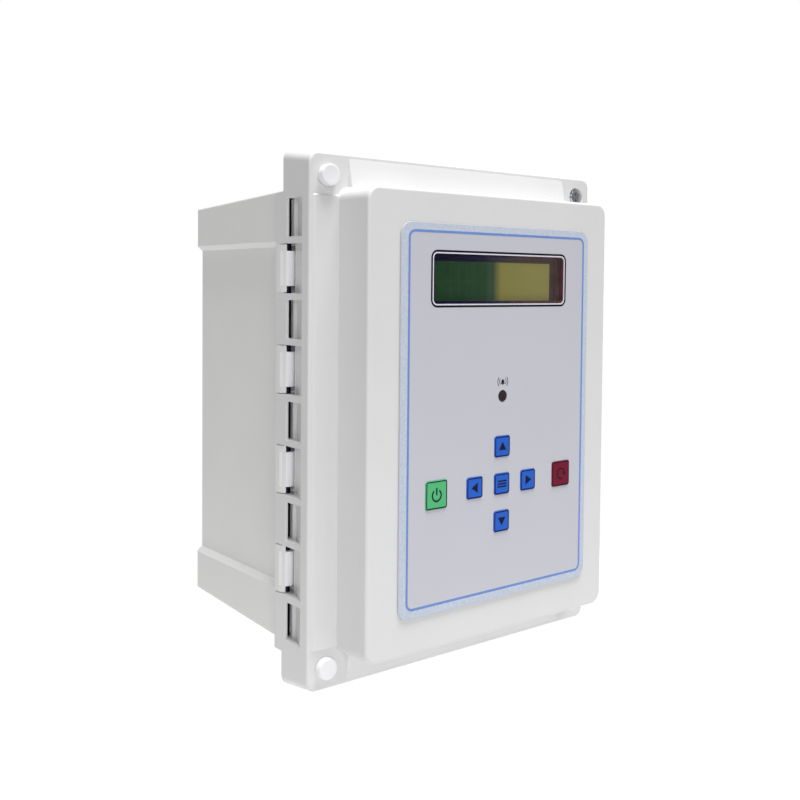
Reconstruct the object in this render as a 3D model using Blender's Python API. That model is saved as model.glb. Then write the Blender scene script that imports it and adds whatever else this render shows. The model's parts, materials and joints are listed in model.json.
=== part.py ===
"""Wall-mounted control and power unit of a salt chlorine generator.

The frame's origin is the centre of the back face, which lies on the wall. +Z is up, and the front faces -Y.
Every size below is in millimetres. The mesh functions turn them into Blender's metres.
"""

import math

import bmesh
import bpy
from mathutils import Vector

MM = 0.001
GAP = 0.3

# Enclosure
BOX_HALF_WIDTH = 103.5
BOX_HALF_HEIGHT_BACK = 123.0
BOX_HALF_HEIGHT_FRONT = 128.5
BOX_WALL = 4.0
FLANGE_BACK = -115.3
FLANGE_FRONT = -119.0
FLANGE_LEFT = -97.0
FLANGE_RIGHT = 105.8
FLANGE_HALF_HEIGHT = 140.8
RIM_FRONT = -134.0
RIM_RIGHT = 100.0
RIM_HALF_HEIGHT = 125.0
CHANNEL_BACK = -104.1
SIDE_RECESS = 4.0
SIDE_RECESS_HALF_HEIGHT = 96.0
WALL_HOLES = [(x, z) for x in (-60.0, 60.0) for z in (-114.3, 114.3)]

# Lid
LID_HALF_WIDTH = 110.0
LID_HALF_HEIGHT = 145.5
LID_BACK_HALF_HEIGHT = 149.0
LID_BACK = -114.8
LID_FRONT = -141.0
LID_SKIN = 4.0
LID_INNER_LEFT = -98.5
LID_INNER_RIGHT = 106.5
LID_INNER_HALF_HEIGHT = 141.5
LUG = 24.5
BAND_RISE = 3.8
STRIP_RISE = 1.1
STRIP_REACH = 123.3
RAMP = 1.0
PANEL_LEFT = -91.4
PANEL_RIGHT = 95.4
PANEL_HALF_HEIGHT = 126.7
PANEL_FRONT = -168.4
PANEL_SKIN = 3.5

# Hinge
HINGE_X = -105.0
HINGE_Y = -112.0
HINGE_BARREL = 5.0
HINGE_SWEEP = 6.4
PIN_RADIUS = 2.0
HINGE_PITCH = 55.64
LOOP_HEIGHT = 28.3
SHELF = 3.6
KNUCKLE_HEIGHT = 26.6
TONGUE_HEIGHT = 19.3
COLUMN_BACK = -107.4
HINGE_HALF_LENGTH = 125.2

# Front panel: the overlay, the display and the keypad each have their own centre line
OVERLAY_X = 3.8
WINDOW_X = 4.4
CENTRE_X = 5.8
OVERLAY_HALF_WIDTH = 74.1
OVERLAY_LOW = -106.8
OVERLAY_HIGH = 108.9
OVERLAY_BACK = PANEL_FRONT - GAP
OVERLAY_FRONT = OVERLAY_BACK - 0.6
WINDOW_HALF_WIDTH = 51.6
WINDOW_LOW = 64.8
WINDOW_HIGH = 92.2
LAMP_Z = 11.1
LAMP_RADIUS = 3.25
ARROW_HALF = 6.1
KEY_ROW_Z = -40.0
KEY_PITCH_X = 21.4
KEY_PITCH_Z = 21.8
KEY_TRAVEL = 0.4
KEY_FRONT = OVERLAY_FRONT - 0.5
POCKET_FLOOR = PANEL_FRONT + 1.8
DOME_FRONT = POCKET_FLOOR - 1.5
KEY_BACK = DOME_FRONT - GAP - KEY_TRAVEL
KEYS = {
    "up_key": (CENTRE_X, KEY_ROW_Z + KEY_PITCH_Z, ARROW_HALF, ARROW_HALF),
    "down_key": (CENTRE_X, KEY_ROW_Z - KEY_PITCH_Z, ARROW_HALF, ARROW_HALF),
    "left_key": (CENTRE_X - KEY_PITCH_X, KEY_ROW_Z, ARROW_HALF, ARROW_HALF),
    "right_key": (CENTRE_X + KEY_PITCH_X, KEY_ROW_Z, ARROW_HALF, ARROW_HALF),
    "centre_key": (CENTRE_X, KEY_ROW_Z, ARROW_HALF, ARROW_HALF),
    "power_key": (CENTRE_X - 50.0, KEY_ROW_Z - 0.5, 7.8, 8.0),
    "red_key": (CENTRE_X + 49.8, KEY_ROW_Z + 0.6, 7.6, 7.6),
}

# Lid fasteners and caps
FASTENER_X = 98.3
FASTENER_Z = 133.3
CAP_X = -99.0
CAP_Z = 133.0
CAP_RADIUS = 5.8

# Inside the lid
CONTROL_BOARD_FRONT = -150.4
CONTROL_BOARD_BACK = -148.8
CONTROL_POSTS = [(x, z) for x in (-63.0, 68.0) for z in (-24.0, 102.0)]

# Inside the box
PLATE_BOSSES = [(x, z) for x in (-80.0, 80.0) for z in (-98.0, 103.0)]
PLATE_BACK = -12.3
PLATE_FRONT = -13.8
BOARD_BACK = -24.1
BOARD_FRONT = -25.7
BOARD_POSTS = [(x, z) for x in (-80.0, 80.0) for z in (-14.0, 90.0)]
STUD_X = 62.0
STUD_Z = -68.0
TRANSFORMER_X = -42.0
TRANSFORMER_Z = -67.0
BOARD_PARTS_BACK = BOARD_FRONT - GAP

# Glands: x, thread radius
GLAND_Y = -65.0
GLAND_PAD_LOW = -129.0
GLAND_FLOOR = -121.5
GLANDS = {"mains_gland": (-22.0, 10.0), "cell_gland": (20.0, 10.0), "sensor_gland": (58.0, 8.0)}

ROUND = 16


# ---------------------------------------------------------------- helpers


def clear_scene():
    for item in list(bpy.data.objects):
        bpy.data.objects.remove(item, do_unlink=True)


def material(name, colour, roughness=0.5, metallic=0.0):
    """One Principled material, made once and shared by name."""
    found = bpy.data.materials.get(name)
    if found:
        return found
    made = bpy.data.materials.new(name)
    made.use_nodes = True
    shader = made.node_tree.nodes["Principled BSDF"]
    shader.inputs["Base Color"].default_value = (*colour, 1.0)
    shader.inputs["Roughness"].default_value = roughness
    shader.inputs["Metallic"].default_value = metallic
    return made


def arc(cx, cz, radius, start_deg, end_deg, steps):
    """Points on an arc, both ends included."""
    points = []
    for i in range(steps + 1):
        angle = math.radians(start_deg + (end_deg - start_deg) * i / steps)
        points.append((cx + radius * math.cos(angle), cz + radius * math.sin(angle)))
    return points


def rounded_rect(x0, x1, z0, z1, radius, steps=3):
    """A rectangle's outline with round corners, anticlockwise."""
    if radius <= 0:
        return [(x0, z0), (x1, z0), (x1, z1), (x0, z1)]
    corners = [
        (x1 - radius, z0 + radius, -90),
        (x1 - radius, z1 - radius, 0),
        (x0 + radius, z1 - radius, 90),
        (x0 + radius, z0 + radius, 180),
    ]
    points = []
    for cx, cz, start in corners:
        points += arc(cx, cz, radius, start, start + 90, steps)
    return points


def circle(cx, cz, radius, sides=ROUND):
    return arc(cx, cz, radius, 0, 360 - 360 / sides, sides - 1)


def place(axis, u, v, along):
    """A point from its place in a section and its place along the section's axis."""
    if axis == "X":
        point = (along, u, v)
    elif axis == "Y":
        point = (u, along, v)
    else:
        point = (u, v, along)
    return Vector(point) * MM


def stack(axis, rings, holes=None):
    """A closed mesh through rings of equal point count: [(place along the axis, outline), ...].

    With holes, a second list of rings, the mesh is a tube between the two.
    """
    mesh = bmesh.new()
    loops = [[mesh.verts.new(place(axis, u, v, along)) for u, v in outline] for along, outline in rings]
    inner = []
    if holes:
        inner = [[mesh.verts.new(place(axis, u, v, along)) for u, v in outline] for along, outline in holes]

    def bridge(low, high):
        count = len(low)
        for i in range(count):
            mesh.faces.new((low[i], low[(i + 1) % count], high[(i + 1) % count], high[i]))

    for low, high in zip(loops, loops[1:]):
        bridge(low, high)
    for low, high in zip(inner, inner[1:]):
        bridge(low, high)
    if inner:
        bridge(loops[0], inner[0])
        bridge(loops[-1], inner[-1])
    else:
        mesh.faces.new(loops[0])
        mesh.faces.new(loops[-1])
    bmesh.ops.recalc_face_normals(mesh, faces=mesh.faces)
    return mesh


def prism(axis, outline, start, end):
    return stack(axis, [(start, outline), (end, outline)])


def block(x0, x1, y0, y1, z0, z1):
    return prism("Y", rounded_rect(x0, x1, z0, z1, 0), y0, y1)


def rod(axis, u, v, radius, start, end, sides=ROUND):
    return prism(axis, circle(u, v, radius, sides), start, end)


def tube(axis, u, v, outer, inner, start, end, sides=ROUND):
    wall = circle(u, v, outer, sides)
    bore = circle(u, v, inner, sides)
    return stack(axis, [(start, wall), (end, wall)], [(start, bore), (end, bore)])


def turned(axis, u, v, profile, sides=ROUND):
    """A turned solid from [(place along the axis, radius), ...]."""
    return stack(axis, [(along, circle(u, v, radius, sides)) for along, radius in profile])


def softened(x0, x1, z0, z1, corner, back, front, edge, steps=2, corner_steps=3):
    """A rounded block whose front edge is a fillet of the given size."""
    rings = [(back, rounded_rect(x0, x1, z0, z1, corner, corner_steps))]
    for i in range(steps + 1):
        angle = math.pi / 2 * i / steps
        inset = edge * (1 - math.cos(angle))
        along = front + edge * (1 - math.sin(angle))
        outline = rounded_rect(x0 + inset, x1 - inset, z0 + inset, z1 - inset, corner - inset, corner_steps)
        rings.append((along, outline))
    return stack("Y", rings)


def add(name, mesh, finish=None, origin=(0, 0, 0), smooth=True):
    """An object from a mesh, with its origin moved to the given point, in millimetres."""
    data = bpy.data.meshes.new(name)
    shift = Vector(origin) * MM
    bmesh.ops.translate(mesh, verts=mesh.verts, vec=-shift)
    mesh.to_mesh(data)
    mesh.free()
    if smooth:
        data.shade_smooth()
        data.set_sharp_from_angle(angle=math.radians(35))
    if finish:
        data.materials.append(finish)
    item = bpy.data.objects.new(name, data)
    item.location = shift
    bpy.context.scene.collection.objects.link(item)
    return item


def boolean(target, operation, meshes):
    """Cuts the meshes from the target, or joins them to it. Each stays in the scene as a hidden guide."""
    for mesh in meshes:
        number = len(target.modifiers)
        guide = add(f"{target.name}_{operation.lower()}_{number}", mesh)
        guide.hide_render = True
        guide.display_type = "WIRE"
        step = target.modifiers.new(guide.name, "BOOLEAN")
        step.operation = operation
        step.solver = "EXACT"
        step.object = guide


def join(target, *meshes):
    boolean(target, "UNION", meshes)


def cut(target, *meshes):
    boolean(target, "DIFFERENCE", meshes)


def ride(child, parent):
    child.parent = parent
    child.matrix_parent_inverse = parent.matrix_world.inverted()


# ---------------------------------------------------------------- finishes


def housing_white():
    return material("housing_white", (0.60, 0.61, 0.61), 0.42)


def lid_white():
    return material("lid_white", (0.70, 0.71, 0.71), 0.38)


def overlay_grey():
    return material("overlay_grey", (0.50, 0.51, 0.58), 0.35)


def key_blue():
    return material("key_blue", (0.02, 0.13, 0.68), 0.35)


def key_green():
    return material("key_green", (0.08, 0.50, 0.16), 0.35)


def key_red():
    return material("key_red", (0.20, 0.01, 0.03), 0.35)


def steel():
    return material("steel", (0.55, 0.56, 0.58), 0.3, 1.0)


def zinc():
    return material("zinc_plate", (0.50, 0.51, 0.52), 0.45, 1.0)


def brass():
    return material("brass", (0.60, 0.43, 0.16), 0.35, 1.0)


def copper():
    return material("copper_winding", (0.55, 0.22, 0.10), 0.4, 1.0)


def aluminium():
    return material("aluminium", (0.62, 0.63, 0.65), 0.4, 1.0)


def core_steel():
    return material("core_steel", (0.12, 0.12, 0.13), 0.5, 1.0)


def board_green():
    return material("board_green", (0.02, 0.14, 0.06), 0.45)


def black_plastic():
    return material("black_plastic", (0.02, 0.02, 0.02), 0.45)


def grey_plastic():
    return material("grey_plastic", (0.22, 0.23, 0.24), 0.45)


def nylon():
    return material("nylon_white", (0.75, 0.74, 0.70), 0.5)


def black_rubber():
    return material("black_rubber", (0.02, 0.02, 0.02), 0.8)


def gasket_grey():
    return material("gasket_grey", (0.10, 0.10, 0.10), 0.85)


def clear_plastic():
    return material("clear_plastic", (0.55, 0.62, 0.58), 0.1)


def display_green():
    return material("display_green", (0.10, 0.17, 0.06), 0.2)


def lamp_red():
    return material("lamp_red", (0.12, 0.01, 0.02), 0.2)


def relay_blue():
    return material("relay_blue", (0.03, 0.12, 0.35), 0.4)


# ---------------------------------------------------------------- hinge layout


def loop_centres():
    return [HINGE_PITCH * i for i in (-2, -1, 0, 1, 2)]


def knuckle_centres():
    return [HINGE_PITCH * (i + 0.5) for i in (-2, -1, 0, 1)]


# ---------------------------------------------------------------- base


def side_recess(side):
    """The shallow field in a side wall, between its two bands, with sloped edges."""
    wall = side * BOX_HALF_WIDTH
    floor = side * (BOX_HALF_WIDTH - SIDE_RECESS)
    outside = side * (BOX_HALF_WIDTH + 1)
    low = SIDE_RECESS_HALF_HEIGHT
    high = low + 2.9
    outline = [(floor, -low), (wall, -high), (outside, -high), (outside, high), (wall, high), (floor, low)]
    return prism("Y", outline, 1.0, CHANNEL_BACK)


def make_knuckle(z):
    """A knuckle: a rear block as tall as its share of the column, and a shorter barrel in front."""
    half = KNUCKLE_HEIGHT / 2
    tongue = TONGUE_HEIGHT / 2
    rear = [
        (-LID_HALF_WIDTH, HINGE_Y),
        (-109.4, -114.6),
        (-108.3, -116.0),
        (-107.5, -115.4),
        (-107.5, -108.6),
        (-96.0, -108.6),
        (-96.0, -102.5),
        (-BOX_HALF_WIDTH + SIDE_RECESS + 1, -102.5),
        (-BOX_HALF_WIDTH + SIDE_RECESS + 1, COLUMN_BACK),
        (-LID_HALF_WIDTH, COLUMN_BACK),
    ]
    return (
        prism("Z", rear, z - half, z + half),
        rod("Z", HINGE_X, HINGE_Y, HINGE_BARREL, z - tongue, z + tongue, 20),
        block(HINGE_X, -96.0, -115.0, -111.5, z - tongue, z + tongue),
    )


def make_base_housing():
    back, front = BOX_HALF_HEIGHT_BACK, BOX_HALF_HEIGHT_FRONT
    side_view = [(0.0, -back), (0.0, back), (FLANGE_BACK, front), (FLANGE_BACK, -front)]
    outer = prism("X", side_view, -BOX_HALF_WIDTH, BOX_HALF_WIDTH)
    housing = add("base_housing", outer, housing_white())
    edges = housing.modifiers.new("soft_edges", "BEVEL")
    edges.width = 1.6 * MM
    edges.segments = 1
    edges.limit_method = "ANGLE"
    cut(housing, side_recess(-1), side_recess(1))
    cut(housing, block(-112.0, FLANGE_LEFT, -118.0, CHANNEL_BACK, -150.0, 150.0))
    half = FLANGE_HALF_HEIGHT
    rim = rounded_rect(FLANGE_LEFT, RIM_RIGHT, -RIM_HALF_HEIGHT, RIM_HALF_HEIGHT, 6.0)
    join(
        housing,
        softened(FLANGE_LEFT, FLANGE_RIGHT, -half, half, 4.0, FLANGE_BACK + 0.2, FLANGE_FRONT, 0.4, 1),
        prism("Y", rim, FLANGE_FRONT + 1, RIM_FRONT),
        block(-50.0, 84.0, -92.0, -38.0, GLAND_PAD_LOW, -119.0),
    )
    for side in (-1, 1):
        join(housing, rod("Y", FASTENER_X, side * FASTENER_Z, 6.4, FLANGE_FRONT + 1, -128.4))
    for z in knuckle_centres():
        join(housing, *make_knuckle(z))
    cavity_side = [
        (-BOX_WALL, -119.0),
        (-BOX_WALL, 119.0),
        (RIM_FRONT - 1, 121.5),
        (RIM_FRONT - 1, -121.5),
    ]
    cut(housing, prism("X", cavity_side, -93.5, 96.5))
    cut(housing, block(-95.5, -90.0, -100.0, -BOX_WALL, -118.5, 118.5))
    for low, high in ((99.5, 118.5), (-118.5, -99.5)):
        cut(housing, block(-99.5, 99.5, -100.0, -BOX_WALL, low, high))
    cut(housing, block(-48.0, 82.0, -90.0, -40.0, GLAND_FLOOR, -110.0))
    for x, z in PLATE_BOSSES:
        join(housing, rod("Y", x, z, 5.0, -3.0, -12.0, 12))
        cut(housing, rod("Y", x, z, 2.3, -5.0, -13.0, 10))
    for x, z in WALL_HOLES:
        cut(housing, rod("Y", x, z, 3.3, 1.0, -6.0, 12))
    for side in (-1, 1):
        cut(housing, rod("Y", FASTENER_X, side * FASTENER_Z, 5.2, -121.0, -130.0))
    for x, radius in GLANDS.values():
        cut(housing, rod("Z", x, GLAND_Y, radius + GAP, GLAND_PAD_LOW - 1, GLAND_FLOOR + 1))
    cut(housing, rod("Z", HINGE_X, HINGE_Y, PIN_RADIUS + GAP, -130.0, 130.0))
    return housing


def make_hinge_pin():
    profile = [(-124.0, 1.5), (-123.4, PIN_RADIUS), (124.5, PIN_RADIUS), (125.1, 1.5)]
    return add("hinge_pin", turned("Z", HINGE_X, HINGE_Y, profile), steel())


def make_keeper(name, side):
    """A slotted disc that a lid fastener's cross bar passes through."""
    z = side * FASTENER_Z
    keeper = add(name, rod("Y", FASTENER_X, z, 6.3, -129.7, -128.7), steel())
    slot = rounded_rect(FASTENER_X - 5.2, FASTENER_X + 5.2, z - 2.2, z + 2.2, 2.1)
    cut(keeper, prism("Y", slot, -131.0, -127.0))


def screw(x, z, under_head, head_radius, head_height, shank_radius, tip, sides=12):
    """A pan-head screw that points towards the wall."""
    top = under_head - head_height
    profile = [
        (top, head_radius * 0.72),
        (top + head_height * 0.35, head_radius),
        (under_head, head_radius),
        (under_head, shank_radius),
        (tip, shank_radius),
    ]
    return turned("Y", x, z, profile, sides)


def make_mounting_plate():
    """The steel back plate, with the power board's swaged pillars and the welded earth stud."""
    outline = rounded_rect(-88.0, 88.0, -106.0, 110.0, 4.0, 2)
    plate = add("mounting_plate", prism("Y", outline, PLATE_BACK, PLATE_FRONT), zinc())
    for x, z in BOARD_POSTS:
        join(plate, rod("Y", x, z, 3.6, PLATE_BACK - 0.5, BOARD_BACK + GAP, 8))
        cut(plate, rod("Y", x, z, 1.9, -16.0, BOARD_BACK, 8))
    stud = [(PLATE_BACK - 0.5, 5.0), (-18.0, 5.0), (-18.0, 3.0), (-32.0, 3.0), (-33.0, 2.2)]
    join(plate, turned("Y", STUD_X, STUD_Z, stud, 12))
    for number, (x, z) in enumerate(PLATE_BOSSES, 1):
        cut(plate, rod("Y", x, z, 2.4, -10.0, -16.0, 10))
        add(f"plate_screw_{number}", screw(x, z, PLATE_FRONT - GAP, 3.8, 2.4, 1.9, -6.0), steel())
    join(plate, rod("Y", STUD_X, STUD_Z, 6.4, -26.0, -21.0, 6))


def make_transformer():
    x, z = TRANSFORMER_X, TRANSFORMER_Z
    core = add("transformer_core", block(x - 36, x + 36, -62.0, -26.0, z - 28, z + 28), core_steel())
    for side in (-1, 1):
        centre = x + side * 18
        cut(core, block(centre - 6, centre + 6, -64.0, -24.0, z - 17, z + 17))
    outer = rounded_rect(x - 23, x + 23, -73.6, -14.4, 3.0, 2)
    inner = rounded_rect(x - 12.5, x + 12.5, -62.5, -25.5, 0.5, 2)
    rings = [(z - 16.5, outer), (z + 16.5, outer)]
    holes = [(z - 16.5, inner), (z + 16.5, inner)]
    add("transformer_winding", stack("Z", rings, holes), copper())
    make_transformer_frame(x, z)


def make_transformer_frame(x, z):
    """A sheet-steel frame: two cheeks beside the core, each with a foot, and a tie at each front end."""
    near, sheet, foot, back, front = 28.4, 1.6, 41.0, -14.1, -62.4
    cheeks = [
        (back, -foot),
        (back - sheet, -foot),
        (back - sheet, -near - sheet),
        (front - sheet, -near - sheet),
        (front - sheet, near + sheet),
        (back - sheet, near + sheet),
        (back - sheet, foot),
        (back, foot),
        (back, near),
        (front, near),
        (front, -near),
        (back, -near),
    ]
    outline = [(y, z + along) for y, along in cheeks]
    frame = add("transformer_frame", prism("X", outline, x - 34, x + 34), zinc())
    cut(frame, block(x - 23.6, x + 23.6, -70.0, front + 0.5, z - 17.2, z + 17.2))
    for sx in (-26, 26):
        for sz in (-36, 36):
            cut(frame, rod("Y", x + sx, z + sz, 2.2, back + 1, back - 4, 12))


def make_power_board():
    board = add("power_board", block(-86.0, 86.0, BOARD_BACK, BOARD_FRONT, -20.0, 96.0), board_green())
    for number, (x, z) in enumerate(BOARD_POSTS, 1):
        cut(board, rod("Y", x, z, 2.0, -22.0, -28.0, 10))
        add(f"board_screw_{number}", screw(x, z, BOARD_FRONT - GAP, 3.0, 2.0, 1.3, -17.0, 10), steel())


def make_heat_sink():
    """An extruded comb: a plate on the board side with upright fins."""
    left, right, fins, thick = 20.0, 70.0, 8, 2.0
    root, tip = BOARD_PARTS_BACK - 4.0, -62.0
    pitch = (right - left - thick) / (fins - 1)
    outline = [(left, BOARD_PARTS_BACK), (left, tip)]
    for i in range(fins):
        start = left + pitch * i
        if i:
            outline += [(start, root), (start, tip)]
        outline += [(start + thick, tip)]
        if i < fins - 1:
            outline += [(start + thick, root)]
    outline += [(right, BOARD_PARTS_BACK)]
    add("heat_sink", prism("Z", outline, 22.0, 90.0), aluminium())


def make_board_parts():
    back = BOARD_PARTS_BACK
    rectifier = add("bridge_rectifier", block(-10.0, 13.0, -36.5, back, 66.0, 89.0), black_plastic())
    cut(rectifier, rod("Y", 1.5, 77.5, 2.4, -20.0, -40.0, 16))
    for number, x in enumerate((-66.0, -38.0), 1):
        can = [(back, 11.0), (-28.0, 11.0), (-28.8, 10.6), (-60.0, 10.6), (-61.0, 10.0)]
        add(f"capacitor_{number}", turned("Y", x, 76.0, can), black_plastic())
    for number, x in enumerate((-66.0, -36.0), 1):
        case = softened(x - 8, x + 8, 28.0, 57.0, 1.0, back, -41.5, 0.8, 1, 2)
        add(f"relay_{number}", case, relay_blue())
    terminal_side = [(back, -16.0), (-44.0, -16.0), (-44.0, -4.0), (-38.0, 0.0), (back, 0.0)]
    terminals = add("terminal_block", prism("X", terminal_side, -70.0, 10.0), grey_plastic())
    for i in range(8):
        x = -65.0 + 10.0 * i
        cut(terminals, block(x - 3.2, x + 3.2, -36.0, -29.0, -18.0, -8.0))
        cut(terminals, rod("Y", x, -10.0, 3.0, -46.0, -40.0, 8))
    holder = add("fuse_holder", block(22.0, 62.0, -33.0, back, -14.0, -2.0), black_plastic())
    cut(holder, block(26.0, 58.0, -35.0, -28.5, -11.8, -4.2))
    cap, body = 2.8, 2.5
    fuse = [(26.6, 2.2), (27.0, cap), (33.0, cap), (33.0, body)]
    fuse += [(51.0, body), (51.0, cap), (57.0, cap), (57.4, 2.2)]
    add("fuse", turned("X", -31.9, -8.0, fuse, 12), clear_plastic())


def make_gland(name, x, thread):
    """A cable gland: threaded body, dome nut, rubber seal inside, and locknut behind the wall."""
    y = GLAND_Y
    low = GLAND_PAD_LOW - GAP
    hexagon = circle(x, y, thread + 4.4, 6)
    body = add(f"{name}_body", stack("Z", [(low, hexagon), (low - 5.5, hexagon)]), grey_plastic())
    join(body, rod("Z", x, y, thread, low - 2, GLAND_FLOOR + 8.0, 16))
    join(body, rod("Z", x, y, thread - 0.4, low - 14.0, low - 2, 16))
    cut(body, rod("Z", x, y, thread - 3.0, low - 20.0, GLAND_FLOOR + 12.0, 16))
    top = low - 5.5 - GAP
    wall = [(top, 3.6), (top - 10.5, 3.6), (top - 15.0, 1.6), (top - 17.0, -1.2)]
    bore = [(top, 0.1), (top - 10.5, 0.1), (top - 14.0, -2.6), (top - 17.0, -4.2)]
    nut = stack(
        "Z",
        [(z, circle(x, y, thread + more, 16)) for z, more in wall],
        [(z, circle(x, y, thread + more, 16)) for z, more in bore],
    )
    add(f"{name}_nut", nut, grey_plastic(), origin=(x, y, top))
    seal = tube("Z", x, y, thread - 3.4, thread - 4.6, low - 3.0, low - 14.4, 16)
    add(f"{name}_seal", seal, black_rubber())
    start = GLAND_FLOOR + GAP
    opening = circle(x, y, thread + 2.0, 6)
    end = start + 4.5
    locknut = stack("Z", [(start, hexagon), (end, hexagon)], [(start, opening), (end, opening)])
    add(f"{name}_locknut", locknut, grey_plastic())


# ---------------------------------------------------------------- lid


def sloped_bands():
    """Four raised strips between the corner lugs, each rising towards the panel, with a ramp at its ends."""
    foot, low = LID_FRONT + 3.0, LID_FRONT + 0.3

    def ramped(axis, flat, risen, reach):
        band = stack(axis, [(-reach, flat), (RAMP - reach, risen), (reach - RAMP, risen), (reach, flat)])
        bmesh.ops.triangulate(band, faces=band.faces)
        return band

    bands = []
    for side in (-1, 1):
        edge = side * (LID_HALF_WIDTH - 2.0)
        root = PANEL_LEFT + 2.0 if side < 0 else PANEL_RIGHT - 2.0
        out, bend = edge - side * 1.5, root + side * 7.5
        flat = [(edge, foot), (edge, low), (out, low), (bend, low), (root, low), (root, foot)]
        level = LID_FRONT - STRIP_RISE
        risen = [(edge, foot), (edge, LID_FRONT), (out, level), (bend, level), (root, level - 2.0), (root, foot)]
        bands.append(ramped("Z", flat, risen, STRIP_REACH))
        edge = side * (LID_HALF_HEIGHT - 2.0)
        root = side * (PANEL_HALF_HEIGHT - 2.0)
        flat = [(foot, edge), (low, edge), (low, root), (foot, root)]
        risen = [(foot, edge), (LID_FRONT, edge), (LID_FRONT - BAND_RISE, root), (foot, root)]
        bands.append(ramped("X", flat, risen, LID_HALF_WIDTH - LUG))
    return bands


def make_loop(z):
    """A hinge loop of the lid: two shelves and the strap that joins them behind the pin."""
    half = LOOP_HEIGHT / 2
    edge = -LID_HALF_WIDTH
    shelf = [
        (edge, -134.7),
        (-98.8, -134.7),
        (-98.8, -117.2),
        (-100.0, -116.4),
        (-100.0, -110.0),
        (-101.5, -107.6),
        (-104.0, COLUMN_BACK),
        (edge, COLUMN_BACK),
    ]
    inner_wall = [(-103.6, -121.2), (-105.2, -118.4), (-104.6, -116.2), (-98.0, -116.2), (-98.0, -121.2)]
    return (
        prism("Z", shelf, z + half - SHELF, z + half),
        prism("Z", shelf, z - half, z - half + SHELF),
        block(edge, edge + 1.6, -118.9, COLUMN_BACK, z - half + 1, z + half - 1),
        prism("Z", inner_wall, z - half + 1, z + half - 1),
    )


def make_lid_shell():
    edge = LID_HALF_WIDTH
    tall = LID_BACK_HALF_HEIGHT
    rings = [(LID_BACK, rounded_rect(-edge, edge, -tall, tall, 6.0, 3))]
    for along, inset in ((LID_FRONT + 2.0, 0.0), (LID_FRONT + 0.6, 0.6), (LID_FRONT, 2.0)):
        tall = LID_HALF_HEIGHT - inset
        rings.append((along, rounded_rect(inset - edge, edge - inset, -tall, tall, 6.0 - inset, 3)))
    lid = add("lid_shell", stack("Y", rings), lid_white())
    half = PANEL_HALF_HEIGHT
    join(lid, softened(PANEL_LEFT, PANEL_RIGHT, -half, half, 7.0, LID_FRONT + 2, PANEL_FRONT, 2.8))
    join(lid, *sloped_bands())
    inner = LID_INNER_HALF_HEIGHT
    cut(lid, block(LID_INNER_LEFT, LID_INNER_RIGHT, LID_FRONT + LID_SKIN, LID_BACK + 1, -inner, inner))
    left, right, inner = PANEL_LEFT + PANEL_SKIN, PANEL_RIGHT - PANEL_SKIN, half - PANEL_SKIN
    panel_room = rounded_rect(left, right, -inner, inner, 4.0, 2)
    cut(lid, prism("Y", panel_room, PANEL_FRONT + PANEL_SKIN, LID_FRONT + LID_SKIN + 1))
    slope = [(-edge - 1, -134.2), (-edge, -134.2), (-104.0, -120.5), (-104.0, -113.0)]
    slope += [(-edge - 1, -113.0)]
    cut(
        lid,
        prism("Z", slope, -HINGE_HALF_LENGTH, HINGE_HALF_LENGTH),
        rod("Z", HINGE_X, HINGE_Y, HINGE_SWEEP, -HINGE_HALF_LENGTH, HINGE_HALF_LENGTH, 20),
        block(-106.0, -97.5, -117.6, -113.0, -HINGE_HALF_LENGTH, HINGE_HALF_LENGTH),
    )
    for z in loop_centres():
        join(lid, *make_loop(z))
    tail = loop_centres()[0] - LOOP_HEIGHT / 2
    join(lid, block(-edge, -104.6, -115.6, COLUMN_BACK, tail - 4.0, tail + 1.0))
    cut(lid, rod("Z", HINGE_X, HINGE_Y, PIN_RADIUS + GAP, -124.3, 130.0))
    for side in (-1, 1):
        join(lid, rod("Y", CAP_X, side * CAP_Z, 6.5, LID_FRONT + 2, -131.5))
        join(lid, rod("Y", FASTENER_X, side * FASTENER_Z, 7.3, LID_FRONT + 2, -131.5))
        cut(lid, rod("Y", CAP_X, side * CAP_Z, 3.8, LID_FRONT - 1, -132.8))
        cut(lid, rod("Y", FASTENER_X, side * FASTENER_Z, 5.9, LID_FRONT - 1, -136.9))
        cut(lid, rod("Y", FASTENER_X, side * FASTENER_Z, 2.2, LID_FRONT - 1, -130.0))
    for x, z in CONTROL_POSTS:
        join(lid, rod("Y", x, z, 3.4, PANEL_FRONT + 2, CONTROL_BOARD_FRONT - GAP, 10))
        cut(lid, rod("Y", x, z, 1.8, -160.0, CONTROL_BOARD_FRONT + 2, 8))
    cut_panel_openings(lid)
    return lid


def cut_panel_openings(lid):
    """The display opening with its seat, the lamp hole, and the keypad's pocket with its tail slot."""
    before = PANEL_FRONT - 2
    behind = PANEL_FRONT + PANEL_SKIN + 1
    width = WINDOW_HALF_WIDTH + 0.5
    seat = rounded_rect(WINDOW_X - width, WINDOW_X + width, WINDOW_LOW - 0.5, WINDOW_HIGH + 0.5, 3.0, 2)
    cut(lid, prism("Y", seat, before, PANEL_FRONT + 2.0))
    cut(lid, block(WINDOW_X - 49.5, WINDOW_X + 49.5, before, behind, 66.5, 90.5))
    cut(lid, rod("Y", CENTRE_X, LAMP_Z, LAMP_RADIUS + GAP, before, PANEL_FRONT + 1.8))
    cut(lid, rod("Y", CENTRE_X, LAMP_Z, 2.9, before, behind))
    cut(lid, block(-56.0, 68.0, before, POCKET_FLOOR, -72.0, -8.0))
    cut(lid, block(CENTRE_X - 10, CENTRE_X + 10, before, behind, -14.0, -9.0))


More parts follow.
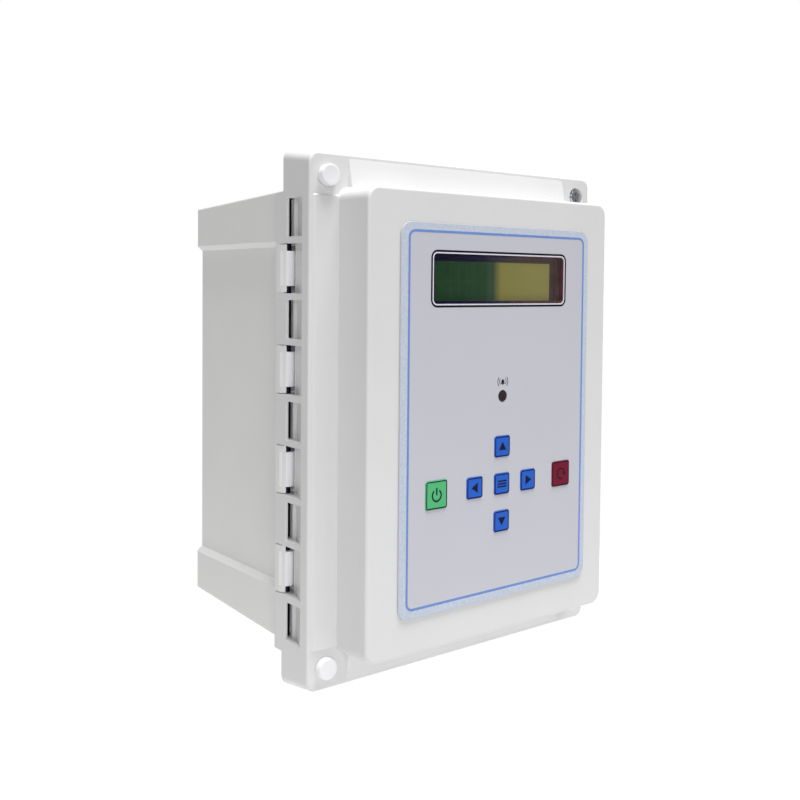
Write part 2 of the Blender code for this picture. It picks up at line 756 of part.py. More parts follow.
def make_gasket():
    width, half = 3.4, RIM_HALF_HEIGHT
    outer = rounded_rect(FLANGE_LEFT, RIM_RIGHT, -half, half, 6.0)
    inner = rounded_rect(FLANGE_LEFT + width, RIM_RIGHT - width, -half + width, half - width, 4.0)
    rings = [(-136.7, outer), (RIM_FRONT - GAP, outer)]
    holes = [(-136.7, inner), (RIM_FRONT - GAP, inner)]
    return add("lid_gasket", stack("Y", rings, holes), gasket_grey())


def make_corner_cap(name, side):
    front = LID_FRONT - GAP
    profile = [
        (-133.3, 3.4),
        (front, 3.4),
        (front, CAP_RADIUS),
        (front - 3.5, CAP_RADIUS),
        (front - 4.2, CAP_RADIUS - 0.6),
    ]
    return add(name, turned("Y", CAP_X, side * CAP_Z, profile), lid_white())


def make_fastener(name, side):
    """A quarter-turn fastener: slotted head, shank with a retaining collar, and cross bar."""
    x, z = FASTENER_X, side * FASTENER_Z
    profile = [
        (-140.4, 3.7),
        (-139.8, 4.4),
        (-137.3, 4.4),
        (-137.3, 1.8),
        (-131.2, 1.8),
        (-131.2, 3.9),
        (-130.3, 3.9),
        (-130.3, 1.8),
        (-126.0, 1.8),
    ]
    item = add(name, turned("Y", x, z, profile), steel(), origin=(x, -137.3, z))
    join(item, block(x - 4.4, x + 4.4, -127.5, -125.5, z - 1.7, z + 1.7))
    cut(item, block(x - 5.0, x + 5.0, -141.0, -139.2, z - 0.6, z + 0.6))
    return item


def make_overlay():
    x0, x1 = OVERLAY_X - OVERLAY_HALF_WIDTH, OVERLAY_X + OVERLAY_HALF_WIDTH
    outline = rounded_rect(x0, x1, OVERLAY_LOW, OVERLAY_HIGH, 7.2, 5)
    overlay = add("panel_overlay", prism("Y", outline, OVERLAY_BACK, OVERLAY_FRONT), overlay_grey())
    width = WINDOW_HALF_WIDTH + GAP
    window = rounded_rect(WINDOW_X - width, WINDOW_X + width, WINDOW_LOW - GAP, WINDOW_HIGH + GAP, 2.9, 3)
    cut(overlay, prism("Y", window, OVERLAY_BACK + 1, OVERLAY_FRONT - 1))
    cut(overlay, rod("Y", CENTRE_X, LAMP_Z, LAMP_RADIUS + GAP, OVERLAY_BACK + 1, OVERLAY_FRONT - 1))
    for x, z, wide, high in KEYS.values():
        hole = rounded_rect(x - wide - GAP, x + wide + GAP, z - high - GAP, z + high + GAP, 1.8, 2)
        cut(overlay, prism("Y", hole, OVERLAY_BACK + 1, OVERLAY_FRONT - 1))
    return overlay


def make_key(name, finish):
    """A key pad on its own slide, with its origin at the middle of its back."""
    x, z, wide, high = KEYS[name]
    pad = softened(x - wide, x + wide, z - high, z + high, 1.5, KEY_BACK, KEY_FRONT, 0.3, 1, 2)
    return add(name, pad, finish, origin=(x, KEY_BACK, z))


def make_keypad():
    """The keypad's circuit sheet, with a snap dome under each key."""
    sheet_front = POCKET_FLOOR - 0.8
    circuit = block(-55.0, 67.0, POCKET_FLOOR - GAP, sheet_front, -71.0, -9.0)
    circuit = add("keypad_circuit", circuit, nylon())
    for x, z, _, _ in KEYS.values():
        dome = [(sheet_front + 0.2, 4.4), (sheet_front - 0.3, 4.0), (DOME_FRONT, 2.0)]
        join(circuit, turned("Y", x, z, dome, 10))


def make_display():
    x = WINDOW_X
    window = rounded_rect(x - WINDOW_HALF_WIDTH, x + WINDOW_HALF_WIDTH, WINDOW_LOW, WINDOW_HIGH, 2.6, 3)
    add("display_window", prism("Y", window, PANEL_FRONT + 1.7, OVERLAY_FRONT + 0.2), clear_plastic())
    frame = add("display_frame", block(x - 57, x + 57, -164.6, -157.6, 58.0, 99.0), black_plastic())
    cut(frame, block(x - 49.2, x + 49.2, -166.0, -162.0, 67.0, 90.0))
    cut(frame, block(x - 52.0, x + 52.0, -163.4, -156.0, 63.0, 94.0))
    add("display_glass", block(x - 51.6, x + 51.6, -163.1, -158.2, 63.4, 93.6), display_green())
    board = add("display_board", block(x - 60.5, x + 60.5, -157.3, -155.7, 56.5, 100.5), board_green())
    for sx in (-56, 56):
        for z in (60.0, 97.0):
            join(board, rod("Y", x + sx, z, 2.5, -156.5, CONTROL_BOARD_FRONT - GAP, 8))


def make_control_board():
    """The control board, with its chips and its link socket soldered on."""
    outline = block(-69.0, 74.0, CONTROL_BOARD_FRONT, CONTROL_BOARD_BACK, -30.0, 108.0)
    board = add("control_board", outline, board_green())
    for x, z in CONTROL_POSTS:
        cut(board, rod("Y", x, z, 1.8, CONTROL_BOARD_FRONT - 2, CONTROL_BOARD_BACK + 2, 8))
    seat = CONTROL_BOARD_BACK - 0.5
    join(board, block(-40.0, -18.0, seat, seat + 3.6, 20.0, 34.0))
    join(board, block(8.0, 28.0, seat, seat + 3.6, 10.0, 30.0))
    join(board, block(-20.0, 22.0, seat, seat + 9.0, -24.0, -15.0))
    cut(board, block(-17.5, 19.5, seat + 2.0, seat + 11.0, -22.6, -16.4))


def make_lamp():
    lens = [
        (-166.2, 1.0),
        (-165.7, 1.9),
        (-164.4, 2.5),
        (-159.4, 2.5),
        (-159.4, 2.85),
        (CONTROL_BOARD_FRONT - GAP, 2.85),
    ]
    add("alarm_lamp", turned("Y", CENTRE_X, LAMP_Z, lens, 16), lamp_red())
    rim, flush = LAMP_RADIUS, OVERLAY_FRONT + 0.1
    window = [(PANEL_FRONT + 1.5, rim), (flush, rim), (flush - 0.2, rim - 0.4)]
    add("lamp_window", turned("Y", CENTRE_X, LAMP_Z, window), black_plastic())


# ---------------------------------------------------------------- whole object


def make_lid_pivot():
    """The empty on the hinge axis that everything on the lid hangs from."""
    pivot = bpy.data.objects.new("lid_pivot", None)
    pivot.location = Vector((HINGE_X, HINGE_Y, 0.0)) * MM
    bpy.context.scene.collection.objects.link(pivot)
    bpy.context.view_layer.update()
    return pivot


def main():
    clear_scene()
    make_base_housing()
    make_hinge_pin()
    make_keeper("upper_keeper", 1)
    make_keeper("lower_keeper", -1)
    make_mounting_plate()
    make_transformer()
    make_power_board()
    make_heat_sink()
    make_board_parts()
    for name, (x, thread) in GLANDS.items():
        make_gland(name, x, thread)
    base = set(bpy.data.objects)
    make_lid_shell()
    make_gasket()
    make_corner_cap("upper_cap", 1)
    make_corner_cap("lower_cap", -1)
    make_fastener("upper_fastener", 1)
    make_fastener("lower_fastener", -1)
    make_overlay()
    for name in ("up_key", "down_key", "left_key", "right_key", "centre_key"):
        make_key(name, key_blue())
    make_key("power_key", key_green())
    make_key("red_key", key_red())
    make_keypad()
    make_display()
    make_control_board()
    make_lamp()
    lid = [item for item in bpy.data.objects if item not in base and item.parent is None]
    pivot = make_lid_pivot()
    for item in lid:
        ride(item, pivot)
    bpy.context.view_layer.update()


main()
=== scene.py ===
"""The looks of a salt chlorine generator's control unit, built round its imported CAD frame.

Sizes are in millimetres, in the frame of the CAD: the origin is the centre of the back face, the front
faces -Y, and +Z is up. The mesh functions turn them into Blender's metres.
"""

import json
import math

import bmesh
import bpy
from mathutils import Matrix, Vector

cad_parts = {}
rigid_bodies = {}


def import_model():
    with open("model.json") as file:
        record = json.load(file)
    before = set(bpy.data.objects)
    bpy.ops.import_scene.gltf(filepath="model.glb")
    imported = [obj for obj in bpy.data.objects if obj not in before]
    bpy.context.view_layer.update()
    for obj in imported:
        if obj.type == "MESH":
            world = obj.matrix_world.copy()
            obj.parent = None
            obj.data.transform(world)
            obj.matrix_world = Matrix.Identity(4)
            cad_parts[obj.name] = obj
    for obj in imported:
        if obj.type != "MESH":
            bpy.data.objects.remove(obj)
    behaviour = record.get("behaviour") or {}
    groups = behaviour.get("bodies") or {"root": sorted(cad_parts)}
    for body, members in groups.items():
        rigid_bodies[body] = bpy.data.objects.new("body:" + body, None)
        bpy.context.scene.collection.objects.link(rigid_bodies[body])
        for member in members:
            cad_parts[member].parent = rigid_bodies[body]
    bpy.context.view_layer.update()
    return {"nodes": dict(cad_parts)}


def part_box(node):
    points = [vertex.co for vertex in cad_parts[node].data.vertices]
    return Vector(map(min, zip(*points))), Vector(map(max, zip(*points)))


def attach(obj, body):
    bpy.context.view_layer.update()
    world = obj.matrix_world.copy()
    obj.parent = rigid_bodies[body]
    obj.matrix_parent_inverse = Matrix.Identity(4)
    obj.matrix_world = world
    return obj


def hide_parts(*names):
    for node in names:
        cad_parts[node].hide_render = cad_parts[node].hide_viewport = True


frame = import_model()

MM = 0.001
GAP = 0.3
ROUND = 48

# Enclosure
BOX_HALF_WIDTH = 103.5
BOX_HALF_HEIGHT_BACK = 123.0
BOX_HALF_HEIGHT_FRONT = 128.5
FLANGE_BACK = -115.3
FLANGE_FRONT = -119.0
FLANGE_LEFT = -97.0
FLANGE_RIGHT = 105.8
FLANGE_HALF_HEIGHT = 140.8
RIM_FRONT = -134.0
RIM_RIGHT = 100.0
RIM_HALF_HEIGHT = 125.0
CHANNEL_BACK = -104.1
RECESS_FLOOR = 99.5
RECESS_HALF_HEIGHT = 96.0
WALL_HOLES = [(x, z) for x in (-60.0, 60.0) for z in (-114.3, 114.3)]

# Lid
LID_HALF_WIDTH = 110.0
LID_HALF_HEIGHT = 145.5
LID_FLARE = 3.5
LID_BACK = -114.8
LID_FRONT = -141.0
LUG = 24.5
BAND_RISE = 3.8
STRIP_RISE = 1.1
STRIP_REACH = 123.3
RAMP = 1.0
PANEL_LEFT = -91.4
PANEL_RIGHT = 95.4
PANEL_HALF_HEIGHT = 126.7
PANEL_FRONT = -168.4
PANEL_SKIN = 3.5
PANEL_DRAFT = 0.8

# Hinge
HINGE_X = -105.0
HINGE_Y = -112.0
HINGE_SWEEP = 6.4
HINGE_PITCH = 55.64
LOOP_HALF = 14.15
SHELF = 3.6
COLUMN_BACK = -107.4
HINGE_HALF_LENGTH = 125.2
LOOPS = [HINGE_PITCH * i for i in (-2, -1, 0, 1, 2)]
KNUCKLES = [HINGE_PITCH * (i + 0.5) for i in (-2, -1, 0, 1)]

# Front panel
OVERLAY_BACK = PANEL_FRONT - GAP
OVERLAY_FRONT = OVERLAY_BACK - 0.6
WINDOW_X = 4.4
WINDOW_Z = 78.5
WINDOW_HALF_WIDTH = 51.6
WINDOW_HALF_HEIGHT = 13.7
CENTRE_X = 5.8
LAMP_Z = 11.1
LAMP_RADIUS = 3.25
INK_FRONT = OVERLAY_FRONT - 0.04
INK_BACK = OVERLAY_FRONT + 0.03
KEY_GAP = 0.2
KEY_CORNER = 1.5
KEY_NODES = ("up_key", "down_key", "left_key", "right_key", "centre_key", "power_key", "red_key")

# Lid fasteners, caps and posts
FASTENER_X = 98.3
FASTENER_Z = 133.3
CAP_X = -99.0
CAP_Z = 133.0
CONTROL_BOARD_FRONT = -150.4
CONTROL_BOARD_BACK = -148.8
CONTROL_POSTS = [(x, z) for x in (-63.0, 68.0) for z in (-24.0, 102.0)]

# Inside the box
PLATE_BOSSES = [(x, z) for x in (-80.0, 80.0) for z in (-98.0, 103.0)]
GLAND_Y = -65.0
GLAND_PAD_LOW = -129.0
GLAND_FLOOR = -121.5
GLANDS = {"mains_gland": (-22.0, 10.0), "cell_gland": (20.0, 10.0), "sensor_gland": (58.0, 8.0)}


# ---------------------------------------------------------------- camera, light and floor


def make_camera():
    """The photograph's viewpoint: to the left of the unit, a little above its middle, looking right."""
    yaw, pitch, roll = (math.radians(angle) for angle in (-37.72, 2.087, 0.464))
    back = Vector((math.sin(yaw) * math.cos(pitch), -math.cos(yaw) * math.cos(pitch), math.sin(pitch)))
    right = Vector((math.cos(yaw), math.sin(yaw), 0.0))
    up = back.cross(right)
    right, up = (
        math.cos(roll) * right + math.sin(roll) * up,
        math.cos(roll) * up - math.sin(roll) * right,
    )
    data = bpy.data.cameras.new("camera")
    data.lens = 44.84
    data.shift_x = 0.018
    data.shift_y = -0.097
    data.clip_start = 0.01
    data.clip_end = 50.0
    camera = linked(data, bpy.context.scene.collection)
    turn = Matrix((right, up, back)).transposed().to_4x4()
    camera.matrix_world = Matrix.Translation((-0.4004, -0.5830, 0.0742)) @ turn
    bpy.context.scene.camera = camera


def make_light(name, toward, strength, spread):
    """A wide soft light that comes evenly from the given direction."""
    data = bpy.data.lights.new(name, "SUN")
    data.energy = strength
    data.angle = math.radians(spread)
    light = linked(data, bpy.context.scene.collection)
    light.rotation_euler = Vector(toward).to_track_quat("Z", "Y").to_euler()
    light.location = Vector(toward)


def make_world():
    """A white studio: plain white where it is seen, and a softer even light on the object."""
    world = bpy.data.worlds.new("studio")
    world.use_nodes = True
    bpy.context.scene.world = world
    tree = world.node_tree
    seen = tree.nodes["Background"]
    lighting = tree.nodes.new("ShaderNodeBackground")
    for background, strength in ((seen, 1.0), (lighting, 0.25)):
        background.inputs["Color"].default_value = (1.0, 1.0, 1.0, 1.0)
        background.inputs["Strength"].default_value = strength
    path = tree.nodes.new("ShaderNodeLightPath")
    mixed = tree.nodes.new("ShaderNodeMixShader")
    tree.links.new(path.outputs["Is Camera Ray"], mixed.inputs["Fac"])
    tree.links.new(lighting.outputs["Background"], mixed.inputs[1])
    tree.links.new(seen.outputs["Background"], mixed.inputs[2])
    tree.links.new(mixed.outputs["Shader"], tree.nodes["World Output"].inputs["Surface"])
    settings = bpy.context.scene.view_settings
    settings.view_transform = "Standard"
    settings.look = "None"


# ---------------------------------------------------------------- mesh helpers


def arc(cx, cz, radius, start_deg, end_deg, steps):
    """Points on an arc, both ends included."""
    points = []
    for i in range(steps + 1):
        angle = math.radians(start_deg + (end_deg - start_deg) * i / steps)
        points.append((cx + radius * math.cos(angle), cz + radius * math.sin(angle)))
    return points


def rounded_rect(x0, x1, z0, z1, radius, steps=8):
    """A rectangle's outline with round corners, anticlockwise."""
    if radius <= 0:
        return [(x0, z0), (x1, z0), (x1, z1), (x0, z1)]
    corners = [
        (x1 - radius, z0 + radius, -90),
        (x1 - radius, z1 - radius, 0),
        (x0 + radius, z1 - radius, 90),
        (x0 + radius, z0 + radius, 180),
    ]
    points = []
    for cx, cz, start in corners:
        points += arc(cx, cz, radius, start, start + 90, steps)
    return points


def around(x, z, wide, tall):
    """The sides of a rectangle from its centre and half sizes."""
    return x - wide, x + wide, z - tall, z + tall


def window(grow):
    """The sides of the display window, moved outward by grow."""
    return around(WINDOW_X, WINDOW_Z, WINDOW_HALF_WIDTH + grow, WINDOW_HALF_HEIGHT + grow)


def circle(cx, cz, radius, sides=ROUND):
    return arc(cx, cz, radius, 0, 360 - 360 / sides, sides - 1)


def place(axis, u, v, along):
    """A point from its place in a section and its place along the section's axis."""
    return Vector({"X": (along, u, v), "Y": (u, along, v), "Z": (u, v, along)}[axis]) * MM


def stack(axis, rings, holes=()):
    """A closed mesh through rings of equal point count. With holes, it is a tube between the two lists."""
    mesh = bmesh.new()

    def bridge(low, high):
        count = len(low)
        for i in range(count):
            mesh.faces.new((low[i], low[(i + 1) % count], high[(i + 1) % count], high[i]))

    def skin(levels):
        loops = [[mesh.verts.new(place(axis, u, v, along)) for u, v in outline] for along, outline in levels]
        for low, high in zip(loops, loops[1:]):
            bridge(low, high)
        return loops

    outer, inner = skin(rings), skin(holes)
    for end in (0, -1):
        if inner:
            bridge(outer[end], inner[end])
        else:
            mesh.faces.new(outer[end])
    bmesh.ops.recalc_face_normals(mesh, faces=mesh.faces)
    return mesh


def prism(axis, outline, start, end):
    return stack(axis, [(start, outline), (end, outline)])


def block(x0, x1, y0, y1, z0, z1):
    return prism("Y", rounded_rect(x0, x1, z0, z1, 0), y0, y1)


def rod(axis, u, v, radius, start, end, sides=ROUND):
    return prism(axis, circle(u, v, radius, sides), start, end)


def turned(axis, u, v, profile, sides=ROUND):
    """A turned solid from [(place along the axis, radius), ...]."""
    return stack(axis, [(along, circle(u, v, radius, sides)) for along, radius in profile])


def pipe(axis, u, v, outside, inside, sides=ROUND):
    """A turned hollow part from its outer and inner profiles."""
    rings = [[(along, circle(u, v, radius, sides)) for along, radius in wall] for wall in (outside, inside)]
    return stack(axis, *rings)


def quarter_round(size, steps):
    """Steps round a fillet from its side to its end face: [(how far short of the end, how far in), ...]."""
    angles = [math.pi / 2 * i / steps for i in range(steps + 1)]
    return [(size * (1 - math.sin(angle)), size * (1 - math.cos(angle))) for angle in angles]


def fillet(end, radius, size, steps=5):
    """A turned profile's fillet from its side to its front face: [(along, radius), ...]."""
    return [(end + short, radius - inward) for short, inward in quarter_round(size, steps)]


def softened(x0, x1, z0, z1, corner, back, front, edge, back_edge=0.0, steps=5, corner_steps=8):
    """A rounded block with a fillet round its front edge, and one round its back edge if asked."""
    rings = []

    def ring(along, inset):
        outline = rounded_rect(x0 + inset, x1 - inset, z0 + inset, z1 - inset, corner - inset, corner_steps)
        rings.append((along, outline))

    for short, inward in quarter_round(back_edge, steps) if back_edge else [(0.0, 0.0)]:
        ring(back - inward, short)
    for short, inward in quarter_round(edge, steps):
        ring(front + short, inward)
    return stack("Y", rings)


def soft(mesh, width, segments=3):
    """The mesh with a small round along each edge that turns by more than 30 degrees."""
    edges = [e for e in mesh.edges if len(e.link_faces) == 2 and e.calc_face_angle(0) > math.radians(30)]
    size = {"offset": width * MM, "segments": segments, "profile": 0.5}
    bmesh.ops.bevel(mesh, geom=edges, affect="EDGES", clamp_overlap=True, **size)
    return mesh


def stored(mesh, name):
    """The working mesh as mesh data, freed once it is stored."""
    data = bpy.data.meshes.new(name)
    mesh.to_mesh(data)
    mesh.free()
    return data


def joined(meshes):
    """Several closed meshes as one, without merging them."""
    result = bmesh.new()
    for mesh in meshes:
        data = stored(mesh, "part")
        result.from_mesh(data)
        bpy.data.meshes.remove(data)
    return result


def linked(data, collection):
    """A new object with the data, in the collection."""
    item = bpy.data.objects.new(data.name, data)
    collection.objects.link(item)
    return item


def carve(mesh, *steps):
    """The mesh after boolean steps, each ("UNION" or "DIFFERENCE", [meshes])."""
    scene = bpy.context.scene.collection
    body = linked(stored(mesh, "tool"), scene)
    groups = []
    for operation, tools in steps:
        group = bpy.data.collections.new("tools")
        scene.children.link(group)
        for tool in tools:
            linked(stored(tool, "tool"), group)
        step = body.modifiers.new("step", "BOOLEAN")
        step.operation = operation
        step.solver = "EXACT"
        step.operand_type = "COLLECTION"
        step.collection = group
        groups.append(group)
    depsgraph = bpy.context.evaluated_depsgraph_get()
    data = bpy.data.meshes.new_from_object(body.evaluated_get(depsgraph))
    for group in groups:
        for tool in list(group.objects):
            bpy.data.meshes.remove(tool.data)
        bpy.data.collections.remove(group)
    bpy.data.meshes.remove(body.data)
    result = bmesh.new()
    result.from_mesh(data)
    bpy.data.meshes.remove(data)
    bmesh.ops.remove_doubles(result, verts=result.verts, dist=1e-6)
    return result


def piece(name, mesh, finish, body=None, under=None, replaces=()):
    """A shown piece that rides on a CAD body, or on a piece that already does."""
    data = stored(mesh, name)
    data.shade_smooth()
    data.set_sharp_from_angle(angle=math.radians(32))
    data.materials.append(finish)
    item = linked(data, bpy.context.scene.collection)
    even = item.modifiers.new("even_normals", "WEIGHTED_NORMAL")
    even.keep_sharp = True
    if under:
        item.parent = under
    else:
        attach(item, body)
    if replaces:
        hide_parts(*replaces)
    return item


# ---------------------------------------------------------------- materials


def srgb(red, green, blue):
    """A colour from 0 to 255 on a screen, as the linear values that the shader takes."""
    values = []
    for value in (red, green, blue):
        share = value / 255
        values.append(share / 12.92 if share <= 0.04045 else ((share + 0.055) / 1.055) ** 2.4)
    return tuple(values)


def shade(colour, factor):
    return tuple(min(1.0, channel * factor) for channel in colour)


class Surface:
    """A node material: its Principled shader and short ways to add nodes that feed it."""

    def __init__(self, name, **sockets):
        self.material = bpy.data.materials.new(name)
        self.material.use_nodes = True
        self.tree = self.material.node_tree
        self.shader = self.tree.nodes["Principled BSDF"]
        for socket, value in sockets.items():
            self.shader.inputs[socket.replace("_", " ")].default_value = value
        self.space = self.add("TexCoord").outputs["Object"]

    def add(self, kind, inputs=None, **settings):
        made = self.tree.nodes.new("ShaderNode" + kind)
        for key, value in settings.items():
            setattr(made, key, value)
        for key, value in (inputs or {}).items():
            if isinstance(value, bpy.types.NodeSocket):
                self.tree.links.new(value, made.inputs[key])
            else:
                made.inputs[key].default_value = value
        return made

    def feed(self, socket, value):
        self.tree.links.new(value, self.shader.inputs[socket])

    def noise(self, size, detail=2.0, stretch=(1, 1, 1), rough=0.5):
        """Noise whose features are about size millimetres across."""
        space = self.add("Mapping", {"Vector": self.space, "Scale": stretch}).outputs["Vector"]
        inputs = {"Vector": space, "Scale": 1 / (size * MM), "Detail": detail, "Roughness": rough}
        return self.add("TexNoise", inputs).outputs["Fac"]

    def clouds(self, size, detail=3.0, low=0.3, stretch=(1, 1, 1)):
        """A soft change from 0 to 1 between patches about size millimetres across."""
        return self.between(self.noise(size, detail, stretch), low, 1 - low)

    def axis(self, name):
        return self.add("SeparateXYZ", {"Vector": self.space}).outputs[name]

    def maths(self, operation, first, second=0.0):
        return self.add("Math", {0: first, 1: second}, operation=operation).outputs["Value"]

    def between(self, value, from_low, from_high, low=0.0, high=1.0, smooth=False):
        kind = "SMOOTHSTEP" if smooth else "LINEAR"
        inputs = {"Value": value, "From Min": from_low, "From Max": from_high, "To Min": low, "To Max": high}
        return self.add("MapRange", inputs, interpolation_type=kind, clamp=True).outputs["Result"]

    def repeats(self, value, pitch):
        """A value in metres as its place in a repeat of pitch millimetres, from 0 to 1."""
        return self.maths("FRACT", self.maths("MULTIPLY", value, 1 / (pitch * MM)))

    def seams(self, place_in_repeat, low, high):
        """1 where one repeat meets the next, and 0 between."""
        return self.between(self.maths("ABSOLUTE", self.maths("SUBTRACT", place_in_repeat, 0.5)), low, high)

    def roughness(self, share, low, high):
        self.feed("Roughness", self.between(share, 0.0, 1.0, low, high))

    def colour(self, share, first, second):
        self.feed("Base Color", self.blend(share, first, second))

    def blend(self, share, first, second):
        made = self.add("Mix", data_type="RGBA")
        for index, value in ((0, share), (6, first), (7, second)):
            if isinstance(value, bpy.types.NodeSocket):
                self.tree.links.new(value, made.inputs[index])
            else:
                made.inputs[index].default_value = value if index == 0 else (*value[:3], 1.0)
        return made.outputs[2]

    def bump(self, height, depth):
        """Gives the surface a bump whose full height is depth millimetres."""
        inputs = {"Height": height, "Distance": depth * MM, "Strength": 1.0}
        self.feed("Normal", self.add("Bump", inputs).outputs["Normal"])


def moulded(name, colour, roughness=0.42, mottle=0.025, grain=0.011, grain_size=0.75, swing=0.07, **sockets):
    """Moulded plastic or rubber: a slow tone change, faint scuffs and a fine spark-eroded grain."""
    made = Surface(name, **sockets)
    slow = made.clouds(55.0)
    scuffs = made.between(made.noise(9.0, 6.0, (1.0, 1.0, 0.35), 0.65), 0.54, 0.72)
    tone = made.blend(slow, shade(colour, 1 - mottle), shade(colour, 1 + mottle * 0.4))
    made.colour(made.maths("MULTIPLY", scuffs, mottle), tone, shade(colour, 0.55))
    made.roughness(scuffs, roughness - swing / 2, roughness + swing)
    made.bump(made.noise(grain_size, 2.0), grain)
    return made.material


def metal(name, colour, roughness=0.35, stretch=(1, 1, 1), grain_size=0.6, grain=0.004, mottle=0.12):
    """Metal with a rolled, drawn or plated grain that runs along the axis with the small stretch."""
    made = Surface(name, Metallic=1.0)
    lines = made.noise(grain_size, 3.0, stretch, 0.6)
    clouds = made.clouds(14.0, 4.0, 0.35)
    made.colour(clouds, shade(colour, 1 - mottle), shade(colour, 1 + mottle / 2))
    made.feed("Roughness", made.between(lines, 0.3, 0.7, roughness - 0.07, roughness + 0.1))
    made.bump(lines, grain)
    return made.material


def ink(name, colour):
    """Screen-printed ink: nearly even, with a slight thin-and-thick change."""
    made = Surface(name, Specular_IOR_Level=0.2)
    thickness = made.between(made.noise(1.6, 3.0), 0.35, 0.7)
    made.colour(thickness, shade(colour, 0.92), shade(colour, 1.06))
    made.feed("Roughness", made.between(made.noise(5.0), 0.3, 0.7, 0.45, 0.58))
    made.bump(made.noise(0.5, 1.0), 0.004)
    return made.material


def key_film(name, colour):
    return moulded(name, colour, 0.42, 0.05, 0.006, 0.5, 0.05, Specular_IOR_Level=0.2)


def make_materials():
    found = {
        "lid": moulded("lid_plastic", srgb(226, 226, 226), 0.40),
        "housing": moulded("housing_plastic", srgb(233, 233, 232), 0.46, grain=0.014),
        # painted highlight: a lighter copy of the housing plastic, so the hinge barrels and corner caps look
        # more brightly lit
        "bright": moulded("painted_lit_plastic", srgb(246, 246, 249), 0.36),
        "overlay": moulded("overlay_film", srgb(201, 201, 210), 0.42, 0.012, 0.006, 0.45, 0.03),
        "blue_key": key_film("key_blue_film", srgb(40, 98, 204)),
        "green_key": key_film("key_green_film", srgb(86, 188, 124)),
        "red_key": key_film("key_red_film", srgb(118, 18, 48)),
        "black": moulded("black_moulding", srgb(34, 34, 37), 0.45, 0.15, 0.012, 0.7, 0.12),
        "grey": moulded("grey_nylon", srgb(126, 128, 132), 0.45, 0.06, 0.012, 0.8, 0.1),
        "rubber": moulded("black_rubber", srgb(30, 30, 31), 0.78, 0.2, 0.02, 0.9, 0.1),
        "gasket": moulded("gasket_foam", srgb(70, 71, 73), 0.88, 0.2, 0.05, 0.6, 0.08),
        "nylon": moulded("keypad_sheet", srgb(222, 220, 210), 0.5, 0.04, 0.006, 0.6, 0.05),
        "relay": moulded("relay_case", srgb(40, 88, 158), 0.36, 0.08, 0.006, 0.6, 0.08),
        "steel": metal("bright_steel", srgb(196, 198, 202), 0.30, (1.0, 0.25, 1.0)),
        # painted shade: the pin's steel is made navy-black so the hinge gaps read as dark as they do in
        # shadow
        "dark_steel": metal("shade_darkened_steel", srgb(44, 42, 66), 0.50, (1.0, 1.0, 0.1)),
        "zinc": metal("zinc_plate", srgb(186, 189, 194), 0.42, (1.0, 1.0, 0.08), 1.2, 0.006, 0.16),
        "aluminium": metal("extruded_aluminium", srgb(200, 203, 208), 0.40, (1.0, 1.0, 0.04), 0.8, 0.006),
        "blue_ink": ink("blue_ink", srgb(116, 146, 212)),
        "margin_ink": ink("margin_ink", srgb(198, 207, 222)),
        "black_ink": ink("black_ink", srgb(18, 16, 26)),
        "navy_ink": ink("navy_ink", srgb(12, 16, 48)),
        "light_ink": ink("light_ink", srgb(226, 224, 234)),
    }
    found["laminations"] = laminated_steel()
    found["winding"] = wound_copper()
    found["board"] = circuit_board("circuit_board", srgb(18, 84, 48))
    found["lcd"] = display_picture()
    found["bezel"] = display_border()
    found["pane"] = window_pane()
    found["lens"] = lamp_lens()
    found["glass"] = fuse_glass()
    return found


def laminated_steel():
    """Stacked core sheets, dark blue-grey, with their edges as fine lines across the core's depth."""
    made = Surface("core_laminations", Metallic=0.85)
    seam = made.seams(made.repeats(made.axis("Y"), 0.9), 0.32, 0.48)
    clouds = made.clouds(7.0, 4.0, 0.35)
    tone = made.blend(clouds, srgb(64, 66, 72), srgb(92, 92, 96))
    made.colour(seam, tone, srgb(28, 28, 31))
    made.roughness(clouds, 0.42, 0.6)
    made.bump(seam, -0.12)
    return made.material


def wound_copper():
    """Enamelled wire, wound in close turns."""
    made = Surface("enamelled_winding", Metallic=0.7, Coat_Weight=0.4, Coat_Roughness=0.2)
    turns = made.repeats(made.axis("Z"), 0.85)
    round_wire = made.maths("SINE", made.maths("MULTIPLY", turns, math.pi))
    clouds = made.clouds(5.0, 4.0, stretch=(1.0, 1.0, 3.0))
    wire = made.blend(clouds, srgb(150, 72, 38), srgb(196, 106, 58))
    made.colour(made.between(round_wire, 0.0, 0.5), srgb(52, 24, 16), wire)
    made.roughness(clouds, 0.28, 0.42)
    made.bump(round_wire, 0.3)
    return made.material


def circuit_board(name, colour):
    """Solder mask over copper tracks: tracks in slightly raised lighter green, with round plated pads."""
    made = Surface(name, Coat_Weight=0.25, Coat_Roughness=0.25)
    turned_up = {"X": made.axis("X"), "Y": made.axis("Z"), "Z": made.axis("Y")}
    swapped = made.add("CombineXYZ", turned_up).outputs["Vector"]
    grid = {"Vector": swapped, "Scale": 1 / (26.0 * MM), "Mortar Size": 0.028, "Mortar Smooth": 0.2,
            "Brick Width": 0.55, "Row Height": 0.13, "Bias": 0.0}
    tracks = made.add("TexBrick", grid, offset=0.37, squash=0.6, squash_frequency=3).outputs["Fac"]
    cells = made.add("TexVoronoi", {"Vector": swapped, "Scale": 1 / (8.5 * MM), "Randomness": 0.55})
    pads = made.between(cells.outputs["Distance"], 0.085, 0.105, 1.0, 0.0)
    holes = made.between(cells.outputs["Distance"], 0.035, 0.045, 1.0, 0.0)
    weave = made.clouds(1.1, 2.0, 0.35)
    mask = made.blend(weave, shade(colour, 0.92), shade(colour, 1.08))
    mask = made.blend(tracks, mask, shade(colour, 1.9))
    mask = made.blend(pads, mask, srgb(196, 190, 170))
    made.colour(holes, mask, srgb(12, 14, 12))
    made.roughness(weave, 0.36, 0.46)
    height = made.maths("MAXIMUM", tracks, pads)
    made.bump(made.maths("SUBTRACT", height, holes), 0.05)
    return made.material


